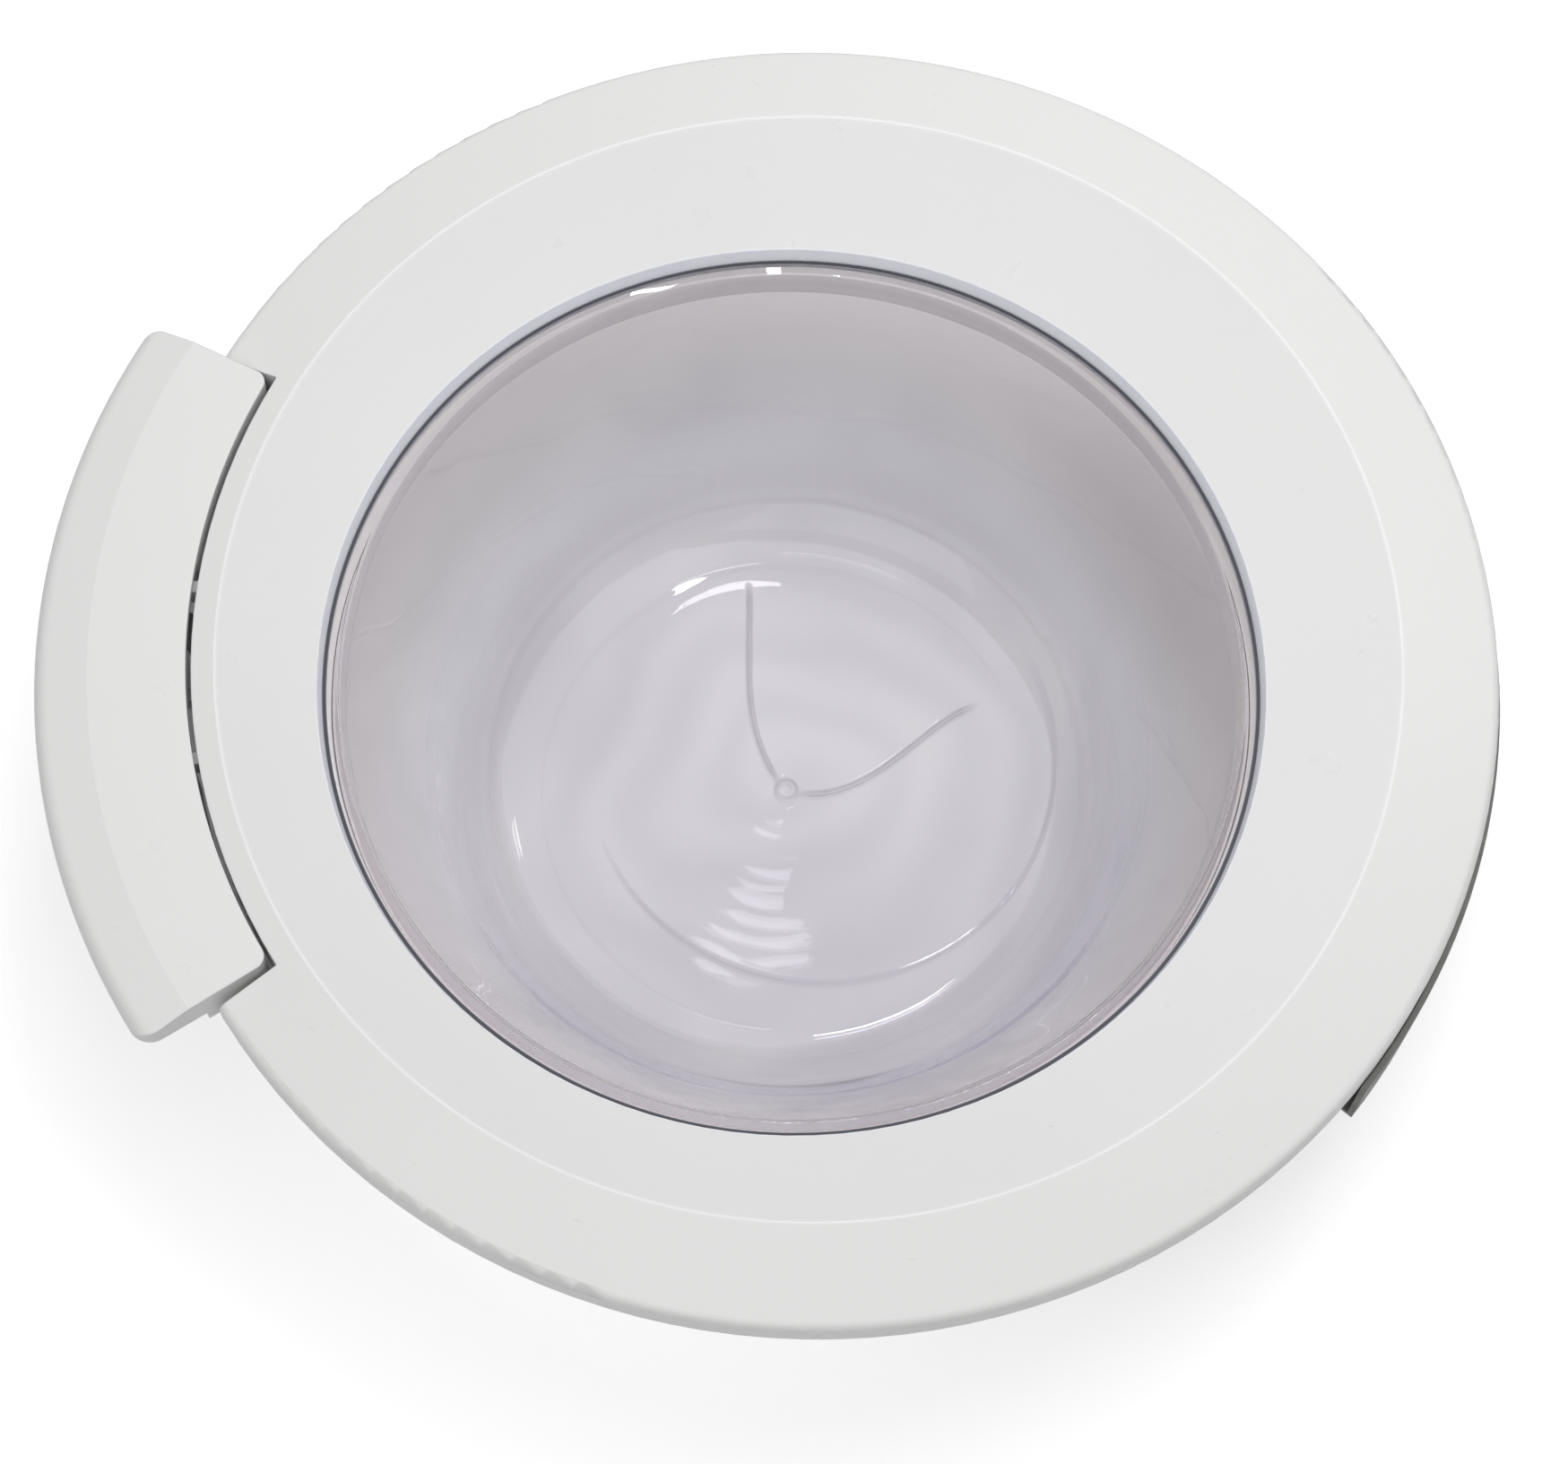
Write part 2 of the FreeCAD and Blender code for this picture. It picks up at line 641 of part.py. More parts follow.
def make_inner_frame():
    """Rear moulding: a channel with the glass seat, screw tubes and a slot for the latch hook."""
    body = new_body("inner_frame")
    back = size.rear_wall_radius
    roll = size.rear_roll
    tongue_top = size.flange_level + size.tongue_wall + size.tongue_height
    ring_sector(body, "Revolution", "channel", [
        (size.mouth_radius - size.ring_shift, size.rear_level),
        (back - roll, size.rear_level),
        (back, size.rear_level + roll),
        (back, size.flange_level),
        (size.tongue_radius, size.flange_level),
        (size.tongue_radius, tongue_top),
        (size.mouth_radius - size.ring_shift, tongue_top),
    ], arcs={1: (roll, True)})
    inner = size.mouth_radius - size.ring_shift * 3
    bowl_turn(body, "Groove", "seat", [
        (inner, size.rear_level - size.rear_wall),
        (size.bore_radius, size.rear_level - size.rear_wall),
        (size.bore_radius, size.seat_level),
        (size.locating_radius, size.seat_level),
        (size.locating_radius, size.glass_depth),
        (size.channel_radius + size.tongue_wall, size.glass_depth),
        (size.channel_radius + size.tongue_wall, size.crease_level),
        (inner, size.crease_level),
    ])
    trench = size.bore_radius + size.seat_rib
    bowl_turn(body, "Groove", "seat_trench", box_points(
        trench, trench + size.seat_trench, size.floor_level, size.seat_level))
    eccentric_pocket(body, "hollow", size.channel_radius, back - size.rear_wall, size.floor_level)
    eccentric_pocket(body, "tongue_step", size.channel_radius, size.tongue_radius - size.tongue_wall,
                     size.flange_level + size.tongue_wall)
    room_angle = (notch_half_angle + wall_angle(size.rim_radius) * 1.5) * 2
    ring_sector(body, "Groove", "handle_space", box_points(
        -size.handle_radius, -size.rib_radius, size.shelf_level, size.crease_level), room_angle)
    behind = -back + size.rear_wall / 2
    ring_sector(body, "Revolution", "notch_rib", [
        (behind, size.shelf_level - size.rear_wall),
        (-size.notch_radius, size.shelf_level - size.rear_wall),
        (-size.notch_radius, size.floor_level - size.rear_wall / 2),
        (-size.rib_radius, size.floor_level - size.rear_wall / 2),
        (-size.rib_radius, size.shelf_level),
        (behind, size.shelf_level),
    ], notch_half_angle * 2)
    tube = size.screw_head_radius + size.head_gap + size.rear_wall / 2
    tube_top = size.frame_screw_level + size.screw_floor
    discs(body, "Pad", "screw_tubes", frame_places, tube, size.rear_level, tube_top - size.rear_level)
    discs(body, "Pocket", "head_wells", frame_places, size.screw_head_radius + size.head_gap,
          size.frame_screw_level, size.frame_screw_level - size.rear_level)
    discs(body, "Pocket", "screw_holes", frame_places, screw_bore, tube_top, tube_top - size.rear_level)
    boss_height = size.hinge_screw_length - size.hinge_sheet
    discs(body, "Pad", "hinge_bosses", hinge_places, screw_boss, size.rear_level, boss_height)
    discs(body, "Pocket", "hinge_bores", hinge_places, screw_bore, size.rear_level + boss_height, boss_height)
    discs(body, "Pocket", "latch_bores", latch_places, screw_bore, size.floor_level, size.rear_wall)
    half = size.hook_width / 2 + size.cheek_gap
    along_y(body, "Pocket", "hook_slot", box_points(
        -size.latch_radius - latch_slot_reach, -size.latch_radius + latch_slot_reach,
        size.rear_level - size.rear_wall, size.floor_level), -half, half)
    discs(body, "Pad", "spring_peg", [(spring_peg_x, 0)], size.peg_radius, size.shelf_level - size.rear_wall / 2,
          size.rear_wall / 2 + size.strip_thickness * 2)
    return body


def eccentric_pocket(body, name, inner_radius, outer_radius, floor):
    """A channel between a circle about the bowl's axis and one about the ring's axis."""
    sketch = new_sketch(body, name, "XY_Plane", (0, 0, size.crease_level))
    draw_circle(sketch, 0, 0, inner_radius)
    draw_circle(sketch, size.ring_shift, 0, outer_radius)
    return extrude(body, "Pocket", sketch, size.crease_level - floor)


def make_glass_bowl():
    """Pressed glass bowl: flat flange, tapered wall, round corner, flat foot and a centre pip."""
    body = new_body("glass_bowl")
    slope = size.wall_slope
    thick = size.glass_thickness
    face = size.glass_depth
    rear = face - size.flange_thickness
    bend = size.bend_radius
    mouth_level = face - bend
    corner_x = size.mouth_radius - (mouth_level - thick) * tangent(slope)
    reach = size.bowl_corner * tangent((90 - slope) / 2)
    outer_corner_x = corner_x + thick / cosine(slope) - thick * tangent(slope)
    outer_roll = size.bowl_corner + thick
    outer_reach = outer_roll * tangent((90 - slope) / 2)
    flange_root = size.mouth_radius - (mouth_level - rear) * tangent(slope) + thick / cosine(slope)
    bowl_turn(body, "Revolution", "glass", [
        (0, 0),
        (outer_corner_x - outer_reach, 0),
        (outer_corner_x + outer_reach * sine(slope), outer_reach * cosine(slope)),
        (flange_root, rear),
        (size.flange_radius, rear),
        (size.flange_radius, face),
        (size.mouth_radius + bend, face),
        (size.mouth_radius, mouth_level),
        (corner_x + reach * sine(slope), thick + reach * cosine(slope)),
        (corner_x - reach, thick),
        (size.pip_radius, thick),
        (size.pip_radius - size.pip_height, thick + size.pip_height),
        (0, thick + size.pip_height),
    ], {1: (outer_roll, True), 6: (bend * 1.1, True), 8: (size.bowl_corner, False)})
    return body


def make_glass_seal():
    """Soft channel that wraps the glass flange; its front edge shows under the lip."""
    body = new_body("glass_seal")
    inside = size.flange_radius + size.seal_gap
    face = size.glass_depth
    rear = face - size.flange_thickness
    front_edge = size.lip_radius - size.lip_taper - size.seal_show
    rear_edge = size.flange_radius - size.seal_rear_leg
    bowl_turn(body, "Revolution", "seal", [
        (rear_edge, rear - size.seal_leg),
        (size.seal_radius, rear - size.seal_leg),
        (size.seal_radius, face + size.seal_leg),
        (front_edge, face + size.seal_leg),
        (front_edge, face),
        (inside, face),
        (inside, rear),
        (rear_edge, rear),
    ])
    return body


def end_tangent(corner, arc, bow, half_angle):
    """How far out along a radial end line a rounded corner starts, and the corner's centre."""
    sway = bow * cosine(half_angle)
    inside = arc - corner
    rest = inside * inside - corner * corner - bow * bow + bow * corner * sine(half_angle) * 2
    reach = sway + root(sway * sway + rest)
    centre_x = -(reach * cosine(half_angle)) - corner * sine(half_angle)
    centre_y = reach * sine(half_angle) - corner * cosine(half_angle)
    return reach, centre_x, centre_y


def handle_plan(wall):
    """Plan of the handle, or of its hollow one wall inside, with arcs at all four corners."""
    half = size.handle_half_angle - wall / size.handle_radius * (180 / math.pi)
    front = size.handle_front_radius + wall
    arc = size.handle_arc - wall
    inner = size.handle_inner_corner - wall
    outer = size.handle_corner - wall
    near = root((front + inner) * (front + inner) - inner * inner)
    near_x = -(near * cosine(half)) - inner * sine(half)
    near_y = near * sine(half) - inner * cosine(half)
    shrink = front / (front + inner)
    reach, far_x, far_y = end_tangent(outer, arc, size.handle_bow, half)
    grow = arc / (arc - outer)
    upper = [
        (near_x * shrink, near_y * shrink),
        (-(near * cosine(half)), near * sine(half)),
        (-(reach * cosine(half)), reach * sine(half)),
        ((far_x + size.handle_bow) * grow - size.handle_bow, far_y * grow),
    ]
    lower = [(x, -y) for x, y in reversed(upper)]
    corner = (outer, True)
    inside = (inner, True)
    return upper + lower, {0: inside, 2: corner, 3: (arc, True), 4: corner, 6: inside, 7: (front, False)}


def handle_front_outline(wall):
    """The space over the handle's front: gentle fall, crease, bevel and rolled outer edge."""
    slope_run = size.handle_bevel
    slope = size.handle_bevel_fall / slope_run
    length = root(slope * slope + 1)
    fall = size.handle_fall / (size.handle_pull - size.handle_bevel)
    roll = size.handle_edge_roll - wall
    edge = size.handle_edge_level + wall * slope - wall * length
    reach = roll * (length - slope)
    arc = size.handle_arc - wall
    crease = size.handle_arc - size.handle_bevel
    start = size.handle_front_radius - size.handle_bow - size.handle_wall
    top = size.crease_level + size.dish_depth
    drop = wall * length
    outside = size.handle_arc + size.handle_bow
    return [
        (-start, size.handle_top_level + size.handle_wall * fall - drop),
        (-crease, size.handle_crease_level - drop),
        (-arc + reach / length, edge + reach * slope / length),
        (-arc, edge - reach),
        (-outside, edge - reach),
        (-outside, top),
        (-start, top),
    ], {2: (roll, True)}


def handle_block(body, prefix, wall):
    """The handle's solid, or its hollow: its plan carried up and trimmed by the turned front."""
    low = size.handle_rear_level - wall
    plan = new_sketch(body, f"{prefix}_plan", "XY_Plane", (size.ring_shift, 0, low))
    points, arcs = handle_plan(wall)
    draw_outline(plan, points, arcs)
    extrude(body, "Pad", plan, size.crease_level - low)
    front = new_sketch(body, f"{prefix}_front", "XZ_Plane", (size.ring_shift - size.handle_bow, 0, 0))
    points, arcs = handle_front_outline(wall)
    draw_outline(front, points, arcs)
    spin(body, "Groove", front, size.handle_half_angle * 4)


def make_handle_hollow():
    """The hollow behind the handle's skin, one wall inside every side."""
    body = new_body("handle_hollow")
    handle_block(body, "hollow", size.handle_wall)
    return body


def make_handle_cover():
    """White skin of the pull handle: rounded corners, a rolled edge, shallow where fingers reach in."""
    body = new_body("handle_cover")
    handle_block(body, "skin", bound(0))
    ring_sector(body, "Groove", "finger_space", box_points(
        -size.handle_radius - size.handle_bow, -size.grip_radius,
        size.handle_rear_level - size.handle_wall, size.handle_skirt_level), size.handle_half_angle * 4)
    hollow = body.newObject("PartDesign::Boolean", "handle_hollowing")
    hollow.Type = "Cut"
    hollow.addObjects([make_handle_hollow()])
    half = pivot_pin_half + size.handle_drift * 2
    along_y(body, "Pocket", "lug_window", box_points(
        -size.handle_front_radius - size.handle_wall * 1.5, -size.rib_radius,
        size.handle_rear_level - size.handle_wall, size.pivot_level + size.pivot_barrel + size.lug_headroom),
        -half, half)
    boss_level = size.handle_rear_level + size.seat_clearance * 2 + size.handle_wall
    boss_top = size.handle_crease_level - size.handle_wall / 4
    discs(body, "Pad", "cover_bosses", handle_places, screw_boss, boss_level, boss_top - boss_level)
    discs(body, "Pocket", "cover_bores", handle_places, screw_bore, boss_level + size.handle_screw_length,
          size.handle_screw_length)
    return drifted(body)


def drifted(body):
    """Move a piece of the handle along its pin by its end play."""
    body.setExpression("Placement.Base.y", size.handle_drift.formula)
    return body


def make_handle_back():
    """Carrier inside the handle: rear plate, grip wall, barrels on the pin and the latch lever."""
    body = new_body("handle_back")
    front = size.handle_front_radius + size.handle_wall + size.seat_clearance
    low = size.handle_rear_level + size.seat_clearance
    top = low + size.handle_wall
    grip = size.grip_radius
    riser_top = size.handle_crease_level - size.handle_wall - size.seat_clearance / 3
    inset = (size.handle_inner_corner + size.seat_clearance) / size.handle_front_radius * (180 / math.pi)
    ring_sector(body, "Revolution", "rear_plate", [
        (-grip, low),
        (-front, low),
        (-front, top),
        (-grip + size.handle_wall, top),
        (-grip + size.handle_wall, riser_top),
        (-grip, riser_top),
    ], (size.handle_half_angle - inset) * 2)
    discs(body, "Pocket", "plate_bores", handle_places, screw_bore, top, size.handle_wall)
    pivot = size.pivot_radius
    barrel = size.pivot_barrel
    outside = size.lug_inner - size.lug_gap - size.handle_drift
    spans = (("lower", -outside, barrel_start), ("upper", spring_end + size.lug_gap, outside))
    for name, start, end in spans:
        rod_along_y(body, "Pad", f"barrel_{name}", -pivot, size.pivot_level, barrel, start, end)
        along_y(body, "Pad", f"web_{name}", box_points(
            -pivot - barrel, -pivot, top - size.handle_wall / 4, size.pivot_level), start, end)
        rod_along_y(body, "Pocket", f"pin_bore_{name}", -pivot, size.pivot_level,
                    size.pivot_pin_radius + size.pivot_fit, start, end)
    arm = -pivot + size.pivot_pin_radius * 1.5
    tip = -pivot + size.lever_reach
    tip_low = size.pivot_level - size.lever_drop
    half = size.lever_width / 2
    along_y(body, "Pad", "lever", [
        (arm, tip_low + size.pivot_pin_radius / 2),
        (tip, tip_low),
        (tip, tip_low + size.lever_height),
        (-pivot + barrel, size.pivot_level - size.pivot_pin_radius / 2),
        (arm, size.pivot_level - size.pivot_pin_radius / 2),
    ], -half, half)
    return drifted(body)


def make_handle_spring():
    """Return spring: a flat steel strip folded over the pin, one leg on the notch wall, one on the plate."""
    body = new_body("handle_spring")
    lean = size.strip_lean
    inside = size.pivot_pin_radius + size.strip_gap
    outside = inside + size.strip_thickness
    x = -size.pivot_radius
    z = size.pivot_level
    plate = size.handle_rear_level + size.seat_clearance + size.handle_wall
    wall_leg = (size.pivot_offset - size.strip_gap - outside * cosine(lean)) / sine(lean)
    plate_leg = (z + inside * sine(lean) - plate - size.strip_gap) / cosine(lean)

    def place(radius, side, leg):
        across = radius * cosine(lean) + leg * sine(lean)
        return x + across * side, z + radius * sine(lean) - leg * cosine(lean)

    along_y(body, "Pad", "strip", [
        place(outside, 1, wall_leg),
        place(outside, 1, 0),
        place(outside, -1, 0),
        place(outside, -1, plate_leg),
        place(inside, -1, plate_leg),
        place(inside, -1, 0),
        place(inside, 1, 0),
        place(inside, 1, wall_leg),
    ], spring_start, spring_end, {1: (outside, True), 5: (inside, False)})
    return body


def make_handle_pin():
    """Steel pin that the handle turns on, held in the two lugs."""
    body = new_body("handle_pin")
    rod_along_y(body, "Pad", "pin", -size.pivot_radius, size.pivot_level, size.pivot_pin_radius,
                -pivot_pin_half, pivot_pin_half)
    return body


def make_latch_housing():
    """Bracket in the rear moulding with two cheeks that carry the hook's pin."""
    body = new_body("latch_housing")
    x = -size.latch_radius
    low = size.floor_level
    top = low + size.cheek_wall
    half = size.latch_base_half
    slot = size.hook_width / 2 + size.cheek_gap
    reach = latch_base_reach
    along_y(body, "Pad", "base", box_points(x - reach, x + reach, low, top), -half, half)
    along_y(body, "Pocket", "base_slot", box_points(x - latch_slot_reach, x + latch_slot_reach, low, top),
            -slot, slot)
    for side, name in ((1, "upper"), (-1, "lower")):
        start, end = sorted_pair(side * slot, side * (slot + size.cheek_wall))
        along_y(body, "Pad", f"cheek_{name}", [
            (x - reach, low),
            (x + reach, low),
            (x + size.hook_boss, size.latch_level),
            (x - size.hook_boss, size.latch_level),
        ], start, end, {2: (size.hook_boss, True)})
        rod_along_y(body, "Pocket", f"cheek_bore_{name}", x, size.latch_level,
                    size.latch_pin_radius + size.pivot_fit, start, end)
    discs(body, "Pocket", "base_bores", latch_places, screw_bore, top, size.cheek_wall)
    return body


def make_latch_hook():
    """Cast hook: a tail under the handle's lever, a boss on its pin and a barbed shank."""
    body = new_body("latch_hook")
    x = -size.latch_radius
    level = size.latch_level
    shank = size.hook_shank / 2
    end = level - size.hook_length
    barb = x - shank - size.hook_barb
    half = size.hook_width / 2
    eye = size.latch_pin_radius + size.hook_eye_wall
    along_y(body, "Pad", "hook", [
        (x - shank, level),
        (x - shank, end + size.hook_barb_height),
        (barb, end + size.hook_barb_height),
        (barb, end + size.hook_barb_height * 3 / 4),
        (x - shank, end),
        (x, end),
        (x + shank, end + shank),
        (x + shank, level),
    ], -half, half)
    rod_along_y(body, "Pad", "hook_eye", x, level, eye, -half, half)
    along_y(body, "Pad", "tail", box_points(
        x - size.tail_reach, x + size.hook_eye_wall, hook_tail_low, hook_tail_top), -half, half)
    along_y(body, "Pad", "tail_neck", box_points(
        x - size.hook_eye_wall, x + size.hook_eye_wall, level, hook_tail_low + size.tail_height / 2), -half, half)
    rod_along_y(body, "Pocket", "hook_bore", x, level, size.latch_pin_radius + size.pivot_fit, -half, half)
    return body


def make_latch_pin():
    """Steel pin through the cheeks and the hook."""
    body = new_body("latch_pin")
    half = size.hook_width / 2 + size.cheek_gap + size.cheek_wall + size.pin_overhang
    rod_along_y(body, "Pad", "pin_of_latch", -size.latch_radius, size.latch_level, size.latch_pin_radius, -half, half)
    return body


def make_latch_spring():
    """Leaf spring: lies on the shelf round its peg and rises to the underside of the hook's tail."""
    body = new_body("latch_spring")
    thick = size.strip_thickness
    low = size.shelf_level
    foot = spring_peg_x - size.peg_radius * 2.5
    bend = spring_peg_x + size.peg_radius * 1.5
    tip = -size.latch_radius - size.tail_reach + size.tail_height
    top = hook_tail_low - size.strip_gap
    half = size.leaf_spring_width / 2
    along_y(body, "Pad", "leaf_strip", [
        (foot, low),
        (bend, low),
        (tip, top - thick),
        (tip, top),
        (bend, low + thick),
        (foot, low + thick),
    ], -half, half)
    discs(body, "Pocket", "peg_hole", [(spring_peg_x, 0)], size.peg_radius + size.screw_bore_gap,
          low + thick, thick)
    return body


def make_hinge_plate():
    """Pressed steel arc behind the rear moulding, with an upturned edge and two ears."""
    body = new_body("hinge_plate")
    outer = size.hinge_flange_radius
    sheet = size.hinge_sheet
    low = size.hinge_plate_level
    ring_sector(body, "Revolution", "arc_plate", [
        (size.hinge_inner_radius, low),
        (outer, low),
        (outer, size.hinge_flange_top),
        (outer - sheet, size.hinge_flange_top),
        (outer - sheet, size.rear_level),
        (size.hinge_inner_radius, size.rear_level),
    ], size.hinge_half_angle * 2)
    discs(body, "Pocket", "plate_holes", hinge_places, screw_bore, size.rear_level, sheet)
    x = size.hinge_axis_radius
    z = size.hinge_axis_level
    barrel = size.barrel_radius
    for side, name in ((1, "upper"), (-1, "lower")):
        start, end = sorted_pair(side * hinge_ear_start, side * hinge_ear_end)
        along_y(body, "Pad", f"ear_{name}", [
            (x - barrel, z),
            (x + barrel, z),
            (x + barrel, low + sheet / 4),
            (x - barrel * 2, low + sheet / 4),
        ], start, end, {0: (barrel, True)})
        rod_along_y(body, "Pocket", f"ear_bore_{name}", x, z, size.hinge_pin_radius + size.hinge_fit, start, end)
    return body


def make_hinge_leaf():
    """Cabinet leaf: a barrel on the pin and a plate with four bolt holes, folded behind the door."""
    body = new_body("hinge_leaf")
    x = size.hinge_axis_radius
    z = size.hinge_axis_level
    low = z - size.barrel_radius
    top = low + size.leaf_thickness
    far = size.leaf_hole_near + size.leaf_hole_pitch
    half = size.leaf_hole_half + size.leaf_edge
    rod_along_y(body, "Pad", "barrel", x, z, size.barrel_radius, -size.barrel_half, size.barrel_half)
    along_y(body, "Pad", "neck", box_points(x - size.leaf_neck, x, low, top), -size.barrel_half, size.barrel_half)
    along_y(body, "Pad", "leaf", box_points(
        x - far - size.leaf_edge, x - size.leaf_neck + size.leaf_thickness, low, top), -half, half)
    places = mirrored(x - size.leaf_hole_near, size.leaf_hole_half) + mirrored(x - far, size.leaf_hole_half)
    discs(body, "Pocket", "leaf_holes", places, size.leaf_hole_radius, top, size.leaf_thickness)
    rod_along_y(body, "Pocket", "barrel_bore", x, z, size.hinge_pin_radius + size.hinge_fit * 2 + size.bush_wall,
                -size.barrel_half, size.barrel_half)
    return body


def make_hinge_bush(name, side):
    """Plain nylon bush pressed into one end of the leaf's barrel, with a washer flange."""
    body = new_body(f"hinge_bush_{name}")
    x = size.hinge_axis_radius
    z = size.hinge_axis_level
    outer = size.hinge_pin_radius + size.hinge_fit + size.bush_wall
    inside = side * (size.barrel_half - size.bush_length)
    mouth = side * size.barrel_half
    outside = side * (size.barrel_half + size.bush_flange)
    rod_along_y(body, "Pad", f"sleeve_{name}", x, z, outer, *sorted_pair(inside, mouth))
    rod_along_y(body, "Pad", f"washer_{name}", x, z, size.barrel_radius, *sorted_pair(mouth, outside))
    rod_along_y(body, "Pocket", f"bush_bore_{name}", x, z, size.hinge_pin_radius + size.hinge_fit,
                *sorted_pair(inside, outside))
    return body


def make_hinge_pin():
    """Steel hinge pin with a flat head below the lower ear."""
    body = new_body("hinge_pin")
    x = size.hinge_axis_radius
    z = size.hinge_axis_level
    far = hinge_ear_end + size.ear_gap + size.hinge_clip_width * 2
    rod_along_y(body, "Pad", "shaft", x, z, size.hinge_pin_radius, -hinge_ear_end, far)
    rod_along_y(body, "Pad", "head", x, z, size.hinge_pin_radius + size.hinge_head,
                -hinge_ear_end - size.hinge_head, -hinge_ear_end)
    return body


def make_hinge_clip():
    """Retaining ring on the plain end of the hinge pin."""
    body = new_body("hinge_clip")
    x = size.hinge_axis_radius
    z = size.hinge_axis_level
    start = hinge_ear_end + size.ear_gap
    end = start + size.hinge_clip_width
    rod_along_y(body, "Pad", "ring", x, z, size.hinge_pin_radius + size.hinge_head, start, end)
    rod_along_y(body, "Pocket", "ring_bore", x, z, size.hinge_pin_radius + size.hinge_fit, start, end)
    return body


def make_screws(label, places, head_level, length, points_down=False):
    """Pan-head screws, one per place, with the head behind the sheet or floor that they hold."""
    body = new_body(label)
    height = size.screw_head_height
    head_low = head_level if points_down else head_level - height
    shank_low = head_level - length if points_down else head_level
    discs(body, "Pad", f"{label}_heads", places, size.screw_head_radius, head_low, height)
    discs(body, "Pad", f"{label}_shanks", places, size.screw_radius, shank_low, length)
    return body


NODES = [
    make_outer_frame(),
    make_inner_frame(),
    make_glass_bowl(),
    make_glass_seal(),
    make_handle_cover(),
    make_handle_back(),
    make_handle_pin(),
    make_handle_spring(),
    drifted(make_screws("handle_screws", handle_places, size.handle_rear_level + size.seat_clearance,
                        size.handle_screw_length)),
    make_latch_housing(),
    make_latch_hook(),
    make_latch_pin(),
    make_latch_spring(),
    make_hinge_plate(),
    make_hinge_leaf(),
    make_hinge_bush("upper", 1),
    make_hinge_bush("lower", -1),
    make_hinge_pin(),
    make_hinge_clip(),
    make_screws("frame_screws", frame_places, size.frame_screw_level, size.screw_length),
    make_screws("hinge_screws", hinge_places, size.hinge_plate_level, size.hinge_screw_length),
    make_screws("latch_screws", latch_places, size.floor_level + size.cheek_wall,
                size.rear_wall + size.cheek_wall, points_down=True),
]


def check_document(nodes):
    """Stop if a feature failed or a piece is empty or broken."""
    doc.recompute()
    for item in doc.Objects:
        if "Invalid" in item.State or "Error" in item.State:
            raise RuntimeError(f"{item.Name} failed: {item.State}")
    for node in nodes:
        if node.Shape.isNull() or not node.Shape.isValid():
            raise RuntimeError(f"{node.Label} has no sound shape")


def write_steps(nodes):
    os.makedirs("parts", exist_ok=True)
    for node in nodes:
        node.Shape.exportStep(f"parts/{node.Label}.step")
        box = node.Shape.optimalBoundingBox()
        print(f"{node.Label}: {len(node.Shape.Solids)} solid, {node.Shape.Volume:.0f} mm3, "
              f"x {box.XMin:.1f} {box.XMax:.1f} y {box.YMin:.1f} {box.YMax:.1f} z {box.ZMin:.1f} {box.ZMax:.1f}")


check_document(NODES)
write_steps(NODES)
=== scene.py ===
"""Looks of the washing machine door: finishes, turned glass bowl, floor, light and camera."""
import bpy
import json
import math
from mathutils import Matrix, Vector


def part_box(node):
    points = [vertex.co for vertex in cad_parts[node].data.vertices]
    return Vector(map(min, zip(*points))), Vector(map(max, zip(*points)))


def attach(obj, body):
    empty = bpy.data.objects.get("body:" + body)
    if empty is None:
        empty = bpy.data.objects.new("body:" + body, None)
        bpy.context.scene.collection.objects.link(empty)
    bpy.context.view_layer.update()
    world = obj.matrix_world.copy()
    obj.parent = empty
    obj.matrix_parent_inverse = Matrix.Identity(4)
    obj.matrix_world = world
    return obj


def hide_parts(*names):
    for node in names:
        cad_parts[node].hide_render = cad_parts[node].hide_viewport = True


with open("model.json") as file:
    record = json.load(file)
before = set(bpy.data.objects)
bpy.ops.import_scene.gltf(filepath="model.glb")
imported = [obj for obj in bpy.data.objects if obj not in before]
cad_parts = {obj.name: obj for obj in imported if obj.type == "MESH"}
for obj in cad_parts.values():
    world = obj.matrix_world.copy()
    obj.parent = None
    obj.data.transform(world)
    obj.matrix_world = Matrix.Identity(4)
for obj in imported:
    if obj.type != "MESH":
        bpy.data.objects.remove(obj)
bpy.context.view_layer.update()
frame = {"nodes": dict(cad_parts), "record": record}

# Sizes and places are in metres, in the door's own frame, whose Z runs up the bowl's axis
RING_SHIFT = 0.007
RIM_LEVEL = 0.138
FLOOR_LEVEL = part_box("glass_bowl")[0][2]

# Camera: the picture is 1749 pixels wide, and the lens is worked out from its width
PICTURE_WIDTH = 1749
FOCAL_PIXELS = 4500
SENSOR_WIDTH = 36.0
FAR_CLIP = 50
CAMERA_PLACE = Vector((RING_SHIFT - 0.05174, -0.4843, RIM_LEVEL + 1.2296))
CAMERA_TILT = math.radians(20.46)
CAMERA_SIDE = math.radians(5.06)
CAMERA_ROLL = math.radians(2.72)

# White ring: the crease between the dish and the rim's slope, and the lip round the glass, with painted
# shade on the slope, a painted highlight along the crease and painted bluish light on the lip
CREASE_RADIUS = 0.193
CREASE_MIDDLE = (0.0051, 0.0)
CREASE_HIGHLIGHT_WIDTH = 0.0005
CREASE_EDGE = 0.0003
CREASE_HIGHLIGHT_SHARE = 0.7
LIP_INNER = 0.1576
LIP_OUTER = 0.1581
# Painted shade on the slope, a painted highlight along the crease and painted bluish light on the lip
SLOPE_PAINTED_SHADE = (0.705, 0.705, 0.70)
CREASE_PAINTED_HIGHLIGHT = (0.87, 0.87, 0.87)
LIP_PAINTED_LIGHT = (0.90, 0.91, 0.98)

# Seal: a painted shadow line, a dark ring where the gap between the lip and the glass is in shade
SHADOW_LINE_INNER = 0.1550
SHADOW_LINE_OUTER = 0.1564
SHADOW_LINE_EDGE = 0.0002

# Plastics: pattern scales, and how far sharp edges are rounded
DRIFT_SCALE = 7
GLOSS_SCALE = 60
GLOSS_SPREAD = 0.15
GRAIN_STRENGTH = 0.25
ROUNDING = 0.0008
ROUNDING_SAMPLES = 6

